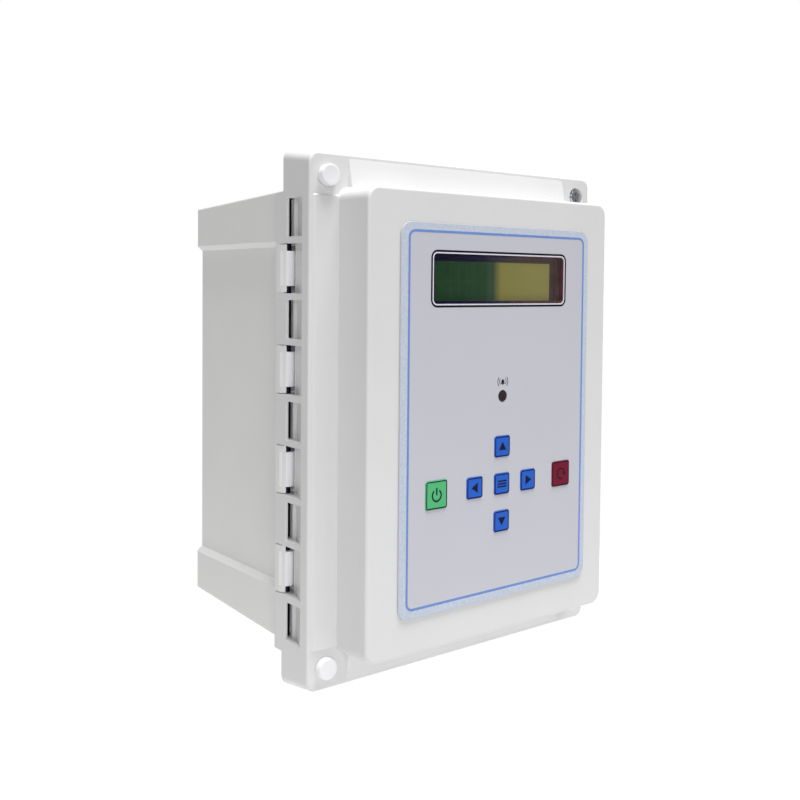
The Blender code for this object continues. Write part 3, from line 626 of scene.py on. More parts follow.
def display_picture():
    """The display's picture area: deep green on the left, olive on the right, with a faint cell grid. The
    change from green to olive is painted viewing-angle shading and reflection.
    """
    made = Surface("display_picture", Specular_IOR_Level=0.12)
    x, z = made.axis("X"), made.axis("Z")
    # painted shading: the green-to-olive turn along X stands in for the picture's viewing-angle shift and
    # reflection
    turn = made.between(x, 0.0030, 0.0095)
    far = made.between(x, 0.012, 0.050)
    clouds = made.clouds(11.0)
    green = made.blend(clouds, srgb(36, 78, 44), srgb(48, 86, 52))
    olive = made.blend(far, srgb(178, 164, 78), srgb(186, 172, 96))
    picture = made.blend(turn, green, olive)
    cell = made.seams(made.repeats(x, 5.95), 0.42, 0.46)
    line = made.seams(made.repeats(made.maths("SUBTRACT", z, 0.0662), 11.1), 0.44, 0.47)
    grid = made.maths("MULTIPLY", made.maths("MAXIMUM", cell, line), 0.04)
    made.colour(grid, picture, srgb(150, 150, 110))
    made.roughness(clouds, 0.32, 0.42)
    made.bump(made.noise(0.6, 1.0), 0.003)
    return made.material


def display_border():
    """The metal round the picture, painted dark as shade: navy on the left, turning to a warm dark brown on
    the right.
    """
    made = Surface("display_border", Specular_IOR_Level=0.12)
    # painted shade: the dark tones and the navy-to-brown turn along X stand in for the bezel lying in shadow
    turn = made.between(made.axis("X"), -0.004, 0.030, smooth=True)
    clouds = made.clouds(6.0)
    navy = made.blend(clouds, srgb(18, 8, 56), srgb(28, 16, 66))
    brown = made.blend(clouds, srgb(92, 60, 62), srgb(108, 74, 74))
    made.colour(turn, navy, brown)
    made.roughness(clouds, 0.35, 0.5)
    made.bump(made.noise(0.7, 2.0), 0.005)
    return made.material


def window_pane():
    """Clear sheet over the display: mostly see-through, with a weak gloss."""
    made = Surface("window_pane")
    clear = made.add("BsdfTransparent", {"Color": (0.93, 0.95, 0.95, 1.0)})
    hazy = made.between(made.noise(12.0, 4.0), 0.35, 0.65, 0.04, 0.08)
    gloss = made.add("BsdfGlossy", {"Color": (1.0, 1.0, 1.0, 1.0), "Roughness": hazy})
    share = made.maths("MULTIPLY", made.add("Fresnel", {"IOR": 1.45}).outputs["Fac"], 0.12)
    mixed = made.add("MixShader", {"Fac": share, 1: clear.outputs["BSDF"], 2: gloss.outputs["BSDF"]})
    output = made.tree.nodes["Material Output"]
    made.tree.links.new(mixed.outputs["Shader"], output.inputs["Surface"])
    made.tree.nodes.remove(made.shader)
    return made.material


def lamp_lens():
    """Dark tinted plastic over the alarm lamp."""
    made = Surface("lamp_lens", Coat_Weight=0.6, Coat_Roughness=0.06)
    clouds = made.clouds(2.5)
    made.colour(clouds, srgb(24, 18, 26), srgb(44, 26, 34))
    made.roughness(clouds, 0.16, 0.26)
    return made.material


def fuse_glass():
    """Frosted clear plastic or glass, with a little haze."""
    made = Surface("frosted_clear", Transmission_Weight=0.6, IOR=1.5)
    clouds = made.clouds(3.0)
    made.colour(clouds, srgb(206, 214, 208), srgb(226, 232, 228))
    made.roughness(clouds, 0.08, 0.18)
    return made.material


# ---------------------------------------------------------------- box


def side_recess(side):
    """The shallow field in a side wall between its two bands."""
    low, high = RECESS_HALF_HEIGHT, RECESS_HALF_HEIGHT + 2.9
    wall, floor, outside = side * BOX_HALF_WIDTH, side * RECESS_FLOOR, side * (BOX_HALF_WIDTH + 1)
    outline = [(floor, -low), (wall, -high), (outside, -high), (outside, high), (wall, high), (floor, low)]
    return prism("Y", outline, 1.0, CHANNEL_BACK)


def knuckle(z):
    """The box's half of a hinge joint: a rear block, and a shorter barrel in front with its web."""
    rear = [(-LID_HALF_WIDTH, HINGE_Y), (-109.4, -114.6), (-108.3, -116.0), (-107.5, -115.4)]
    rear += [(-107.5, -108.6), (-96.0, -108.6), (-96.0, -102.5), (-98.5, -102.5)]
    rear += [(-98.5, COLUMN_BACK), (-LID_HALF_WIDTH, COLUMN_BACK)]
    return [
        soft(prism("Z", rear, z - 13.3, z + 13.3), 0.5),
        soft(rod("Z", HINGE_X, HINGE_Y, 4.9, z - 9.6, z + 9.6), 0.35),
        block(HINGE_X, -96.0, -115.0, -111.5, z - 9.6, z + 9.6),
    ]


def make_box(finish, lit_barrel_finish):
    back, front = BOX_HALF_HEIGHT_BACK, BOX_HALF_HEIGHT_FRONT
    side_view = [(0.0, -back), (0.0, back), (FLANGE_BACK, front), (FLANGE_BACK, -front)]
    outside = soft(prism("X", side_view, -BOX_HALF_WIDTH, BOX_HALF_WIDTH), 1.8, 5)
    half = FLANGE_HALF_HEIGHT
    rim = rounded_rect(FLANGE_LEFT, RIM_RIGHT, -RIM_HALF_HEIGHT, RIM_HALF_HEIGHT, 6.0)
    added = [
        softened(FLANGE_LEFT, FLANGE_RIGHT, -half, half, 4.0, FLANGE_BACK + 0.2, FLANGE_FRONT, 0.5, 0.5, 3),
        soft(prism("Y", rim, FLANGE_FRONT + 1, RIM_FRONT), 0.5),
        soft(block(-50.0, 84.0, -92.0, -38.0, GLAND_PAD_LOW, -119.0), 1.0),
    ]
    for z in (-FASTENER_Z, FASTENER_Z):
        added.append(rod("Y", FASTENER_X, z, 6.4, FLANGE_FRONT + 1, -128.4))
    for z in KNUCKLES:
        added += knuckle(z)
    cavity = [(-4.0, -119.0), (-4.0, 119.0), (RIM_FRONT - 1, 121.5), (RIM_FRONT - 1, -121.5)]
    hollows = [
        soft(prism("X", cavity, -93.5, 96.5), 2.0, 3),
        block(-95.5, -90.0, -100.0, -4.0, -118.5, 118.5),
        block(-48.0, 82.0, -90.0, -40.0, GLAND_FLOOR, -110.0),
    ]
    for low, high in ((99.5, 118.5), (-118.5, -99.5)):
        hollows.append(block(-99.5, 99.5, -100.0, -4.0, low, high))
    bosses = [soft(rod("Y", x, z, 5.0, -3.0, -12.0), 0.4) for x, z in PLATE_BOSSES]
    holes = [rod("Y", x, z, 2.3, -5.0, -13.0) for x, z in PLATE_BOSSES]
    holes += [rod("Y", x, z, 3.3, 1.0, -6.0) for x, z in WALL_HOLES]
    holes += [rod("Y", FASTENER_X, z, 5.2, -121.0, -130.0) for z in (-FASTENER_Z, FASTENER_Z)]
    for x, radius in GLANDS.values():
        holes.append(rod("Z", x, GLAND_Y, radius + GAP, GLAND_PAD_LOW - 1, GLAND_FLOOR + 1))
    holes.append(rod("Z", HINGE_X, HINGE_Y, 2.3, -130.0, 130.0))
    channel = block(-112.0, FLANGE_LEFT, -118.0, CHANNEL_BACK, -150.0, 150.0)
    mesh = carve(
        outside,
        ("DIFFERENCE", [side_recess(-1), side_recess(1), channel]),
        ("UNION", added),
        ("DIFFERENCE", hollows),
        ("UNION", bosses),
        ("DIFFERENCE", holes),
    )
    piece("box_moulding", mesh, finish, "base", replaces=["base_housing"])
    # the barrels wear the lighter plastic copy, a painted highlight
    barrels = []
    for z in KNUCKLES:
        barrel = soft(rod("Z", HINGE_X, HINGE_Y, 5.0, z - 9.7, z + 9.7), 0.35)
        barrels.append(carve(barrel, ("DIFFERENCE", [rod("Z", HINGE_X, HINGE_Y, 2.3, z - 12.0, z + 12.0)])))
    piece("hinge_barrels", joined(barrels), lit_barrel_finish, "base")


def make_pin(finish):
    # the pin's near-black finish is painted shade for the hinge gaps
    profile = [(-124.0, 1.3), (-123.4, 2.0), (124.5, 2.0), (125.1, 1.3)]
    mesh = turned("Z", HINGE_X, HINGE_Y, profile, 32)
    piece("pin_rod", mesh, finish, "base", replaces=["hinge_pin"])


def cross_screw(x, z, under_head, head_radius, head_height, shank_radius, tip):
    """A domed head with a cross recess, and a threaded-looking shank that points towards the wall."""
    top = under_head - head_height
    profile = [(top, head_radius * 0.35), (top + head_height * 0.06, head_radius * 0.62)]
    profile += [(top + head_height * 0.3, head_radius * 0.88), (top + head_height * 0.62, head_radius)]
    profile += [(under_head, head_radius), (under_head, shank_radius)]
    ridge, along = 0.35, under_head + 0.5
    while along < tip - 1.2:
        profile += [(along, shank_radius - ridge), (along + 0.4, shank_radius)]
        along += 0.8
    profile += [(tip - 0.8, shank_radius - ridge), (tip, shank_radius * 0.4)]
    body = turned("Y", x, z, profile, 24)
    wide, long = head_radius * 0.14, head_radius * 0.5
    deep = top + head_height * 0.7
    recess = [
        block(x - long, x + long, top - 1, deep, z - wide, z + wide),
        block(x - wide, x + wide, top - 1, deep, z - long, z + long),
    ]
    return carve(body, ("DIFFERENCE", recess))


def make_screws(finish):
    for number, (x, z) in enumerate(PLATE_BOSSES, 1):
        mesh = cross_screw(x, z, -14.1, 3.8, 2.4, 1.9, -6.0)
        piece(f"cross_screw_{number}", mesh, finish, "base", replaces=[f"plate_screw_{number}"])
    posts = [(x, z) for x in (-80.0, 80.0) for z in (-14.0, 90.0)]
    for number, (x, z) in enumerate(posts, 5):
        mesh = cross_screw(x, z, -26.0, 3.0, 2.0, 1.3, -17.0)
        node = f"board_screw_{number - 4}"
        piece(f"cross_screw_{number}", mesh, finish, "base", replaces=[node])
    for number, (x, z) in enumerate(CONTROL_POSTS, 9):
        screw = cross_screw(-x, z, -14.1, 3.0, 2.0, 1.3, -6.0)
        flip = Matrix.Rotation(math.pi, 4, "Z")
        bmesh.ops.transform(screw, matrix=flip, verts=screw.verts)
        shift = Vector((0.0, (CONTROL_BOARD_BACK + GAP - 14.1) * MM, 0.0))
        bmesh.ops.translate(screw, vec=shift, verts=screw.verts)
        piece(f"cross_screw_{number}", screw, finish, "lid")


def make_gland(name, x, thread, plastic, rubber):
    y, low = GLAND_Y, GLAND_PAD_LOW - GAP
    corner = thread + 4.4

    def threads(radius, start, end):
        """Turned rings that read as a thread."""
        profile, along = [(start, radius - 0.5)], start
        while along < end - 1.4:
            profile += [(along + 0.45, radius), (along + 0.75, radius), (along + 1.2, radius - 0.5)]
            along += 1.35
        return profile + [(end, radius - 0.5)]

    def collar(start, end, *more):
        """A six-sided collar whose corners are turned off at both ends."""
        dome = [(start - 1, corner * 0.84), (start + 0.9, corner + 0.1)]
        dome += [(end - 0.9, corner + 0.1), (end + 1, corner * 0.84)]
        disc = rod("Z", x, y, corner + 3, start - 0.5, end + 0.5)
        waste = carve(disc, ("DIFFERENCE", [turned("Z", x, y, dome)]))
        bar = carve(prism("Z", circle(x, y, corner, 6), start, end), ("DIFFERENCE", [waste]))
        return carve(bar, *more)

    upper = turned("Z", x, y, threads(thread, low - 2, GLAND_FLOOR + 8.0))
    lower = turned("Z", x, y, threads(thread - 0.4, low - 14.0, low - 2))
    bore = rod("Z", x, y, thread - 3.0, low - 20.0, GLAND_FLOOR + 12.0)
    body = collar(low - 5.5, low, ("UNION", [upper, lower]), ("DIFFERENCE", [bore]))
    piece(f"{name}_collar", body, plastic, "base", replaces=[f"{name}_body"])

    top = low - 5.5 - GAP
    outside = [(0.0, 3.1), (0.5, 3.6), (10.2, 3.6), (12.2, 3.0), (14.2, 1.9), (16.0, 0.2), (16.8, -0.9)]
    inside = [(0.0, 0.1), (5.0, 0.1), (10.5, 0.1), (12.2, -1.2), (14.0, -2.6), (16.0, -3.7), (16.6, -4.0)]
    walls = (outside + [(17.0, -1.6)], inside + [(17.0, -4.2)])
    nut = pipe("Z", x, y, *[[(top - down, thread + out) for down, out in wall] for wall in walls])
    grooves = []
    for i in range(18):
        angle = 2 * math.pi * i / 18
        reach = thread + 4.1
        cx, cy = x + reach * math.cos(angle), y + reach * math.sin(angle)
        grooves.append(rod("Z", cx, cy, 0.95, top + 1, top - 10.6, 12))
    nut = carve(nut, ("DIFFERENCE", grooves))
    piece(f"{name}_dome", nut, plastic, f"{name}_nut", replaces=[f"{name}_nut"])

    outer, inner = thread - 3.4, thread - 4.6
    outside = [(low - 3.0, outer - 0.3), (low - 3.4, outer), (low - 14.0, outer), (low - 14.4, outer - 0.4)]
    inside = [(low - 3.0, inner + 0.3), (low - 3.4, inner), (low - 14.0, inner), (low - 14.4, inner + 0.4)]
    seal = pipe("Z", x, y, outside, inside)
    piece(f"{name}_sleeve", seal, rubber, "base", replaces=[f"{name}_seal"])

    start = GLAND_FLOOR + GAP
    clear = rod("Z", x, y, thread + 0.15, start - 1, start + 6)
    nut = collar(start, start + 4.5, ("DIFFERENCE", [clear]))
    piece(f"{name}_backnut", nut, plastic, "base", replaces=[f"{name}_locknut"])


# ---------------------------------------------------------------- lid


def loop(z):
    """The lid's half of a hinge joint: two shelves, the outer strap between them, and an inner wall."""
    edge = -LID_HALF_WIDTH
    shelf = [(edge, -134.7), (-98.8, -134.7), (-98.8, -117.2), (-100.0, -116.4), (-100.0, -110.0)]
    shelf += [(-101.5, -107.6), (-104.0, COLUMN_BACK), (edge, COLUMN_BACK)]
    inner_wall = [(-103.6, -121.2), (-105.2, -118.4), (-104.6, -116.2), (-98.0, -116.2), (-98.0, -121.2)]
    return [
        soft(prism("Z", shelf, z + LOOP_HALF - SHELF, z + LOOP_HALF), 0.4),
        soft(prism("Z", shelf, z - LOOP_HALF, z - LOOP_HALF + SHELF), 0.4),
        soft(block(edge, edge + 1.6, -118.9, COLUMN_BACK, z - LOOP_HALF + 0.2, z + LOOP_HALF - 0.2), 0.3),
        soft(prism("Z", inner_wall, z - LOOP_HALF + 1, z + LOOP_HALF - 1), 0.3),
    ]


def raised_bands():
    """Four raised strips between the corner lugs, each rising towards the panel, with a ramp at its ends."""
    foot, low = LID_FRONT + 3.0, LID_FRONT + 0.3

    def ramped(axis, flat, risen, reach):
        band = stack(axis, [(-reach, flat), (RAMP - reach, risen), (reach - RAMP, risen), (reach, flat)])
        bmesh.ops.triangulate(band, faces=band.faces)
        return soft(band, 0.5)

    bands = []
    for side in (-1, 1):
        edge = side * (LID_HALF_WIDTH - 2.0)
        root = PANEL_LEFT + 2.0 if side < 0 else PANEL_RIGHT - 2.0
        out, bend = edge - side * 1.5, root + side * 7.5
        level = LID_FRONT - STRIP_RISE
        hollow = [(bend - side * 7.5 * i / 6, level - 2.0 * (i / 6) ** 2) for i in range(7)]
        flat = [(edge, foot), (edge, low), (out, low)] + [(x, low) for x, _ in hollow] + [(root, foot)]
        risen = [(edge, foot), (edge, LID_FRONT), (out, level)] + hollow + [(root, foot)]
        bands.append(ramped("Z", flat, risen, STRIP_REACH))
        edge = side * (LID_HALF_HEIGHT - 2.0)
        root = side * (PANEL_HALF_HEIGHT - 2.0)
        flat = [(foot, edge), (low, edge), (low, root), (foot, root)]
        risen = [(foot, edge), (LID_FRONT, edge), (LID_FRONT - BAND_RISE, root), (foot, root)]
        bands.append(ramped("X", flat, risen, LID_HALF_WIDTH - LUG))
    return bands


def raised_panel():
    """The deep front panel, with a little draft and a soft front edge."""
    rings = []

    def ring(along, grow, corner):
        half = PANEL_HALF_HEIGHT + grow
        rings.append((along, rounded_rect(PANEL_LEFT - grow, PANEL_RIGHT + grow, -half, half, corner, 10)))

    ring(LID_FRONT + 2.0, PANEL_DRAFT, 7.6)
    for short, inward in quarter_round(1.7, 7):
        ring(PANEL_FRONT + short, -inward, 7.4 - inward)
    return stack("Y", rings)


def make_lid(finish):
    edge, half = LID_HALF_WIDTH, LID_HALF_HEIGHT
    plate = softened(-edge, edge, -half, half, 6.0, LID_BACK, LID_FRONT, 1.5, 0.4, 6, 10)
    wall_front = (LID_FRONT + 2.0) * MM
    for vert in plate.verts:
        share = max(0.0, (vert.co.y - wall_front) / (LID_BACK * MM - wall_front))
        vert.co.z += math.copysign(LID_FLARE * MM * share, vert.co.z)
    inner = PANEL_HALF_HEIGHT - PANEL_SKIN
    room = rounded_rect(PANEL_LEFT + PANEL_SKIN, PANEL_RIGHT - PANEL_SKIN, -inner, inner, 4.0)
    hollows = [
        block(-98.5, 106.5, -137.0, LID_BACK + 1, -141.5, 141.5),
        prism("Y", room, PANEL_FRONT + PANEL_SKIN, -136.0),
    ]
    slope = [(-edge - 1, -134.2), (-edge, -134.2), (-104.0, -120.5), (-104.0, -113.0), (-edge - 1, -113.0)]
    reach = HINGE_HALF_LENGTH
    hollows += [
        prism("Z", slope, -reach, reach),
        rod("Z", HINGE_X, HINGE_Y, HINGE_SWEEP, -reach, reach),
        block(-106.0, -97.5, -117.6, -113.0, -reach, reach),
    ]
    loops = [part for z in LOOPS for part in loop(z)]
    tail = LOOPS[0] - LOOP_HALF
    loops.append(soft(block(-edge, -104.6, -115.6, COLUMN_BACK, tail - 4.0, tail + 1.0), 0.4))
    bosses, holes = [], [rod("Z", HINGE_X, HINGE_Y, 2.3, -124.3, 130.0)]
    mouth = [(LID_FRONT - 1, 6.9), (LID_FRONT, 6.3), (LID_FRONT + 0.4, 5.9), (-136.9, 5.9)]
    for z in (-CAP_Z, CAP_Z):
        bosses.append(rod("Y", CAP_X, z, 6.5, LID_FRONT + 2, -131.5))
        holes.append(rod("Y", CAP_X, z, 3.8, LID_FRONT - 1, -132.8))
    for z in (-FASTENER_Z, FASTENER_Z):
        bosses.append(rod("Y", FASTENER_X, z, 7.3, LID_FRONT + 2, -131.5))
        holes.append(turned("Y", FASTENER_X, z, mouth))
        holes.append(rod("Y", FASTENER_X, z, 2.2, LID_FRONT - 1, -130.0))
    for x, z in CONTROL_POSTS:
        bosses.append(rod("Y", x, z, 3.4, PANEL_FRONT + 2, CONTROL_BOARD_FRONT - GAP))
        holes.append(rod("Y", x, z, 1.8, -160.0, CONTROL_BOARD_FRONT + 2))
    mesh = carve(
        plate,
        ("UNION", [raised_panel(), *raised_bands()]),
        ("DIFFERENCE", hollows),
        ("UNION", loops + bosses),
        ("DIFFERENCE", holes + panel_openings()),
    )
    piece("lid_moulding", mesh, finish, "lid", replaces=["lid_shell"])


def panel_openings():
    """The display opening with its seat, the lamp hole, and the keypad's pocket with its tail slot."""
    before, behind = PANEL_FRONT - 2, PANEL_FRONT + PANEL_SKIN + 1
    return [
        prism("Y", rounded_rect(*window(0.5), 3.0), before, PANEL_FRONT + 2.0),
        block(WINDOW_X - 49.5, WINDOW_X + 49.5, before, behind, 65.8, 91.0),
        rod("Y", CENTRE_X, LAMP_Z, LAMP_RADIUS + GAP, before, PANEL_FRONT + 1.8),
        rod("Y", CENTRE_X, LAMP_Z, 2.9, before, behind),
        block(-56.0, 68.0, before, PANEL_FRONT + 1.8, -72.0, -8.0),
        block(CENTRE_X - 10, CENTRE_X + 10, before, behind, -14.0, -9.0),
    ]


def make_caps(finish):
    """The two hinge-side corner plugs: discs with a soft rim and a faint dished face."""
    front, radius = LID_FRONT - GAP, 5.8
    profile = [(-133.3, 2.9), (-133.8, 3.4), (front, 3.4), (front, radius - 0.3), (front - 0.3, radius)]
    profile += fillet(front - 4.2, radius, 0.6)
    profile += [(front - 4.2, 3.9), (front - 4.1, 3.6), (front - 4.1, 0.6)]
    # the caps wear the lighter plastic copy, a painted highlight
    for name, side in (("upper_cap", 1), ("lower_cap", -1)):
        mesh = turned("Y", CAP_X, side * CAP_Z, profile)
        piece(f"{name}_plug", mesh, finish, "lid", replaces=[name])


def make_fasteners(finish):
    """Quarter-turn fasteners: cross-slotted head, shank, retaining collar and cross bar."""
    x = FASTENER_X
    head = [(-140.4, 3.0), (-140.3, 3.5), (-140.0, 4.0), (-139.5, 4.35), (-139.0, 4.4), (-137.3, 4.4)]
    shank = [(-137.3, 1.8), (-131.2, 1.8), (-131.2, 3.9), (-130.3, 3.9), (-130.3, 1.8), (-126.0, 1.8)]
    for side, name in ((1, "upper_fastener"), (-1, "lower_fastener")):
        z = side * FASTENER_Z
        bar = soft(block(x - 4.4, x + 4.4, -127.5, -125.5, z - 1.7, z + 1.7), 0.4)
        slots = [
            block(x - 5.0, x + 5.0, -141.0, -139.3, z - 0.55, z + 0.55),
            block(x - 0.55, x + 0.55, -141.0, -139.3, z - 2.6, z + 2.6),
        ]
        mesh = carve(turned("Y", x, z, head + shank), ("UNION", [bar]), ("DIFFERENCE", slots))
        piece(f"{name}_turn", mesh, finish, name, replaces=[name])


# ---------------------------------------------------------------- front panel


def key_box(node):
    """A key's centre and half sizes, from its CAD node."""
    low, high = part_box(node)
    x, z = (low.x + high.x) / 2 / MM, (low.z + high.z) / 2 / MM
    return x, z, (high.x - low.x) / 2 / MM, (high.z - low.z) / 2 / MM


def printed(name, outlines, finish, under=None, front=INK_FRONT, back=INK_BACK):
    """Ink on a face: one thin closed solid for each outline."""
    mesh = joined([prism("Y", outline, back, front) for outline in outlines])
    return piece(name, mesh, finish, None if under else "lid", under)


def ring_mesh(x0, x1, z0, z1, corner, width, back=INK_BACK, front=INK_FRONT):
    outer = rounded_rect(x0, x1, z0, z1, corner)
    inner = rounded_rect(x0 + width, x1 - width, z0 + width, z1 - width, max(corner - width, 0.05))
    return stack("Y", [(back, outer), (front, outer)], [(back, inner), (front, inner)])


def curved_bar(cx, cz, radius, width, start_deg, end_deg, steps=20):
    """The outline of a curved bar."""
    outer = arc(cx, cz, radius + width / 2, start_deg, end_deg, steps)
    inner = arc(cx, cz, radius - width / 2, end_deg, start_deg, steps)
    return outer + inner


def bar(x0, x1, z0, z1):
    return rounded_rect(x0, x1, z0, z1, 0.25, 3)


def make_overlay(colours):
    low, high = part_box("panel_overlay")
    x0, x1, z0, z1 = low.x / MM, high.x / MM, low.z / MM, high.z / MM
    film = softened(x0, x1, z0, z1, 7.2, OVERLAY_BACK, OVERLAY_FRONT, 0.25, 0.0, 3, 12)
    before, behind = OVERLAY_FRONT - 1, OVERLAY_BACK + 1
    holes = [
        prism("Y", rounded_rect(*window(GAP), 2.9), behind, before),
        rod("Y", CENTRE_X, LAMP_Z, LAMP_RADIUS + GAP, behind, before),
    ]
    for node in KEY_NODES:
        x, z, wide, tall = key_box(node)
        hole = rounded_rect(*around(x, z, wide + KEY_GAP, tall + KEY_GAP), KEY_CORNER + KEY_GAP)
        holes.append(prism("Y", hole, behind, before))
    mesh = carve(film, ("DIFFERENCE", holes))
    piece("overlay_film", mesh, colours["overlay"], "lid", replaces=["panel_overlay"])

    margin = ring_mesh(x0 + 0.5, x1 - 0.5, z0 + 0.5, z1 - 0.5, 6.7, 4.2, INK_BACK, INK_FRONT + 0.01)
    piece("border_margin", margin, colours["margin_ink"], "lid")
    border = ring_mesh(-65.3, 74.2, -102.2, 104.9, 4.6, 1.4)
    piece("border_line", border, colours["blue_ink"], "lid")
    black = ring_mesh(-49.4, 58.1, 62.7, 94.3, 4.4, 1.15)
    piece("display_line", black, colours["black_ink"], "lid")
    pale = ring_mesh(-48.2, 56.9, 63.9, 93.1, 3.3, 0.75)
    piece("display_inner_line", pale, colours["light_ink"], "lid")


def make_alarm_sign(colours):
    """A small bell with a wave on either side, above the lamp."""
    x, z = CENTRE_X, LAMP_Z + 8.4
    dome = arc(x, z + 0.1, 1.15, 0, 180, 12)
    bell = dome + [(x - 1.2, z - 0.9), (x - 1.7, z - 1.3), (x + 1.7, z - 1.3), (x + 1.2, z - 0.9)]
    clapper = circle(x, z - 1.65, 0.38, 16)
    signs = [bell, clapper]
    for radius in (2.6, 4.0):
        signs += [curved_bar(x, z, radius, 0.42, start, start + 76, 10) for start in (-38, 142)]
    printed("alarm_sign", signs, colours["navy_ink"])


def make_keys(colours):
    """Key pads with rounded edges, each with a printed outline and a generic sign."""
    finishes = {"power_key": colours["green_key"], "red_key": colours["red_key"]}
    slots = {"power_key": "key_green", "red_key": "key_red"}
    for node in KEY_NODES:
        x, z, wide, tall = key_box(node)
        low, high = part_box(node)
        front, back = low.y / MM, high.y / MM
        face = front + 0.04
        pad = softened(*around(x, z, wide, tall), KEY_CORNER, back, face, 0.4)
        finish, slot = finishes.get(node, colours["blue_key"]), slots.get(node, "key_blue")
        key = piece(f"{node}_pad", pad, finish, node, replaces=[node])
        signs = key_signs(node, x, z)
        finish = colours["black_ink"] if node == "red_key" else colours["navy_ink"]
        printed(f"{node}_sign", signs, finish, key, front, face + 0.05)
        inset, line = 0.3, 0.65
        sides = around(x, z, wide - inset, tall - inset)
        edge = ring_mesh(*sides, KEY_CORNER - inset, line, face + 0.1, front)
        piece(f"{node}_outline", edge, finish, under=key)


def key_signs(node, x, z):
    """The outlines of a key's sign: a triangle, bars, a power sign or a reset sign."""
    toward = {"up_key": (0, 1), "down_key": (0, -1), "left_key": (-1, 0), "right_key": (1, 0)}
    if node in toward:
        dx, dz = toward[node]
        tip, base, half = 2.7, -2.1, 2.9
        corners = [(tip, 0.0), (base, half), (base, -half)]
        return [[(x + dx * a - dz * b, z + dz * a + dx * b) for a, b in corners]]
    if node == "centre_key":
        return [bar(x - 3.6, x + 3.6, z + dz - 0.42, z + dz + 0.42) for dz in (-1.6, 0.0, 1.6)]
    if node == "power_key":
        return [curved_bar(x, z - 0.3, 3.2, 0.95, 125, 415), bar(x - 0.5, x + 0.5, z - 0.2, z + 4.0)]
    head = [(x + 3.1 + 1.5, z + 0.5), (x + 3.1 - 1.5, z + 0.5), (x + 3.1, z - 1.6)]
    return [curved_bar(x, z, 3.1, 0.9, 10, 300), head]


def make_display(colours):
    """The clear pane with its dark edge, the mask and lining behind it, and the display's own parts."""
    x = WINDOW_X
    pane = softened(*window(0.0), 2.6, PANEL_FRONT + 1.7, OVERLAY_FRONT + 0.2, 0.25, 0.2, 2)
    piece("display_pane", pane, colours["pane"], "lid", replaces=["display_window"])
    # The mask, edge, lining, can and plate wear the bezel finish, whose dark tone is painted shade.
    outer = rounded_rect(*window(GAP), 2.8)
    inner = rounded_rect(x - 48.8, x + 48.8, 66.3, 90.5, 0.6)
    seat, end = PANEL_FRONT + 1.95, PANEL_FRONT + 1.75
    mask = stack("Y", [(seat, outer), (end, outer)], [(seat, inner), (end, inner)])
    piece("display_mask", mask, colours["bezel"], "lid")
    edge = ring_mesh(*window(-0.05), 2.55, 0.4, PANEL_FRONT + 1.65, OVERLAY_FRONT + 0.26)
    piece("display_edge", edge, colours["bezel"], "lid")
    outer = rounded_rect(x - 49.4, x + 49.4, 65.9, 90.9, 0.4)
    rings = [(PANEL_FRONT + 2.0, outer), (-164.7, outer)]
    lining = stack("Y", rings, [(PANEL_FRONT + 2.0, inner), (-164.7, inner)])
    piece("display_lining", lining, colours["bezel"], "lid")

    can = softened(x - 57.0, x + 57.0, 58.0, 99.0, 1.6, -157.6, -164.6, 0.9, 0.0, 4)
    view = softened(x - 49.2, x + 49.2, 66.0, 90.8, 0.8, -162.0, -166.0, 0.01, 0.0, 1)
    inside = block(x - 52.0, x + 52.0, -163.4, -156.0, 63.0, 94.0)
    can = carve(can, ("DIFFERENCE", [view, inside]))
    piece("display_can", can, colours["bezel"], "lid", replaces=["display_frame"])
    glass = softened(x - 51.6, x + 51.6, 63.4, 93.6, 0.6, -158.2, -163.05, 0.2, 0.2, 2)
    plate = piece("display_plate", glass, colours["bezel"], "lid", replaces=["display_glass"])
    picture = prism("Y", rounded_rect(-45.4, 50.1, 66.2, 88.4, 0.4), -163.04, -163.1)
    piece("display_picture", picture, colours["lcd"], under=plate)


def make_lamp_window(colours):
    rim, flush = LAMP_RADIUS, OVERLAY_FRONT + 0.1
    profile = [(PANEL_FRONT + 1.5, rim), (flush + 0.3, rim)]
    profile += fillet(flush - 0.1, rim, 0.3, 4)
    profile += [(flush - 0.15, rim * 0.55), (flush - 0.18, rim * 0.2)]
    mesh = turned("Y", CENTRE_X, LAMP_Z, profile)
    piece("lamp_dome", mesh, colours["lens"], "lid", replaces=["lamp_window"])


# ---------------------------------------------------------------- inside


def make_control_details(colours):
    """Small parts on the control board's rear side, which shows when the lid is open."""
    back = CONTROL_BOARD_BACK
    legs, bodies = [], []
    for i in range(20):
        x = -38.5 + 18.5 * (i % 10) / 9
        z = 19.2 if i < 10 else 34.8
        legs.append(soft(block(x - 0.25, x + 0.25, back, back + 1.6, z - 0.9, z + 0.9), 0.08, 1))
    for i in range(8):
        x = 30.0 + 5.0 * (i % 4)
        z = 40.0 if i < 4 else 52.0
        bodies.append(soft(block(x - 1.1, x + 1.1, back, back + 1.2, z - 1.9, z + 1.9), 0.15, 1))
    for x, z in ((-52.0, 60.0), (-52.0, 74.0), (50.0, 84.0)):
        can = [(back, 3.0), (back + 0.8, 3.2), (back + 6.4, 3.2), (back + 6.9, 2.8)]
        bodies.append(turned("Y", x, z, can, 32))
    crystal = softened(-6.0, 4.0, 40.0, 43.8, 1.8, back + 3.4, back, 0.01)
    piece("chip_legs", joined(legs), colours["steel"], "lid")
    piece("small_parts", joined(bodies), colours["black"], "lid")
    piece("crystal_can", crystal, colours["steel"], "lid")


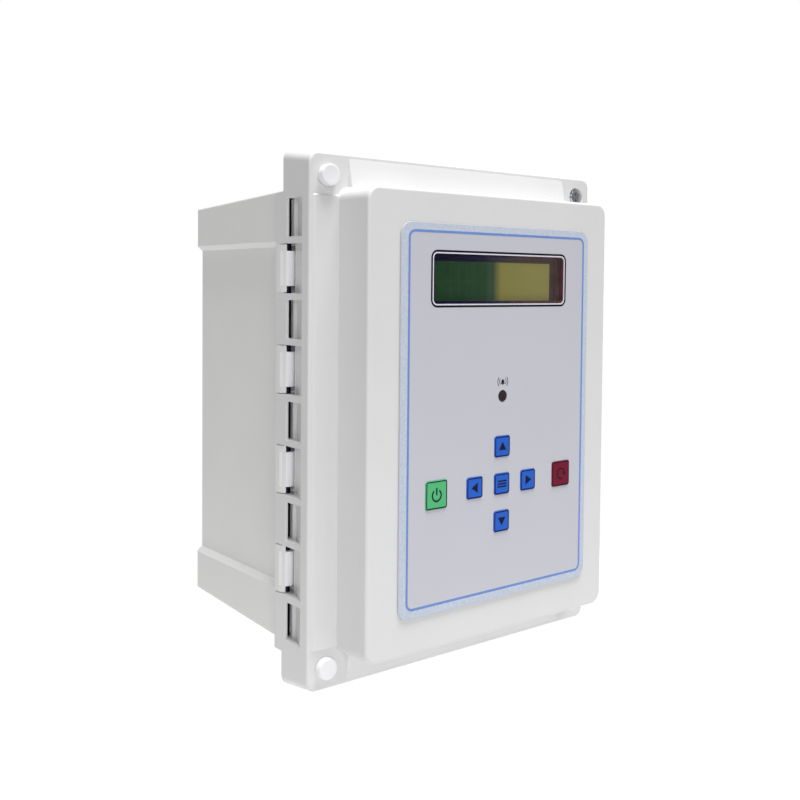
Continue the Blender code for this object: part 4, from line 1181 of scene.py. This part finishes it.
def make_power_details(colours):
    """The terminal block's slotted screws."""
    screws = []
    for i in range(8):
        x = -65.0 + 10.0 * i
        head = turned("Y", x, -10.0, [(-43.4, 1.6), (-43.2, 2.3), (-42.6, 2.6), (-40.2, 2.6)], 24)
        slot = block(x - 2.0, x + 2.0, -44.0, -42.8, -10.35, -9.65)
        screws.append(carve(head, ("DIFFERENCE", [slot])))
    piece("terminal_screws", joined(screws), colours["steel"], "base")


def finish_carried(colours):
    """Materials for the CAD nodes that are shown as they are."""
    named = {
        "steel": ["upper_keeper", "lower_keeper"],
        "zinc": ["mounting_plate", "transformer_frame"],
        "laminations": ["transformer_core"],
        "winding": ["transformer_winding"],
        "board": ["power_board", "control_board", "display_board"],
        "aluminium": ["heat_sink"],
        "black": ["bridge_rectifier", "capacitor_1", "capacitor_2", "fuse_holder"],
        "relay": ["relay_1", "relay_2"],
        "grey": ["terminal_block"],
        "glass": ["fuse"],
        "gasket": ["lid_gasket"],
        "nylon": ["keypad_circuit"],
        "red_key": ["alarm_lamp"],
    }
    for finish, nodes in named.items():
        for node in nodes:
            materials = frame["nodes"][node].data.materials
            materials.clear()
            materials.append(colours[finish])


# ---------------------------------------------------------------- floor and run


def make_floor():
    """A wide pale floor, well below the unit, which hangs on a wall."""
    made = Surface("pale_floor")
    clouds = made.clouds(400.0, 2.0)
    made.colour(clouds, (0.61, 0.61, 0.61), (0.63, 0.63, 0.63))
    made.roughness(clouds, 0.7, 0.8)
    mesh = prism("Z", rounded_rect(-1100.0, 1100.0, -1300.0, 900.0, 300.0), -430.0, -440.0)
    data = stored(mesh, "floor")
    data.materials.append(made.material)
    linked(data, bpy.context.scene.collection)


def main():
    make_camera()
    make_world()
    make_light("overhead_light", (0.06, -0.15, 1.0), 4.8, 28.0)
    make_light("front_light", (-0.55, -0.80, 0.25), 0.8, 40.0)
    make_floor()
    colours = make_materials()
    make_box(colours["housing"], colours["bright"])
    make_pin(colours["dark_steel"])
    make_screws(colours["steel"])
    for name, (x, thread) in GLANDS.items():
        make_gland(name, x, thread, colours["grey"], colours["rubber"])
    make_lid(colours["lid"])
    make_caps(colours["bright"])
    make_fasteners(colours["steel"])
    make_overlay(colours)
    make_alarm_sign(colours)
    make_keys(colours)
    make_display(colours)
    make_lamp_window(colours)
    make_control_details(colours)
    make_power_details(colours)
    finish_carried(colours)
    bpy.context.view_layer.update()


main()
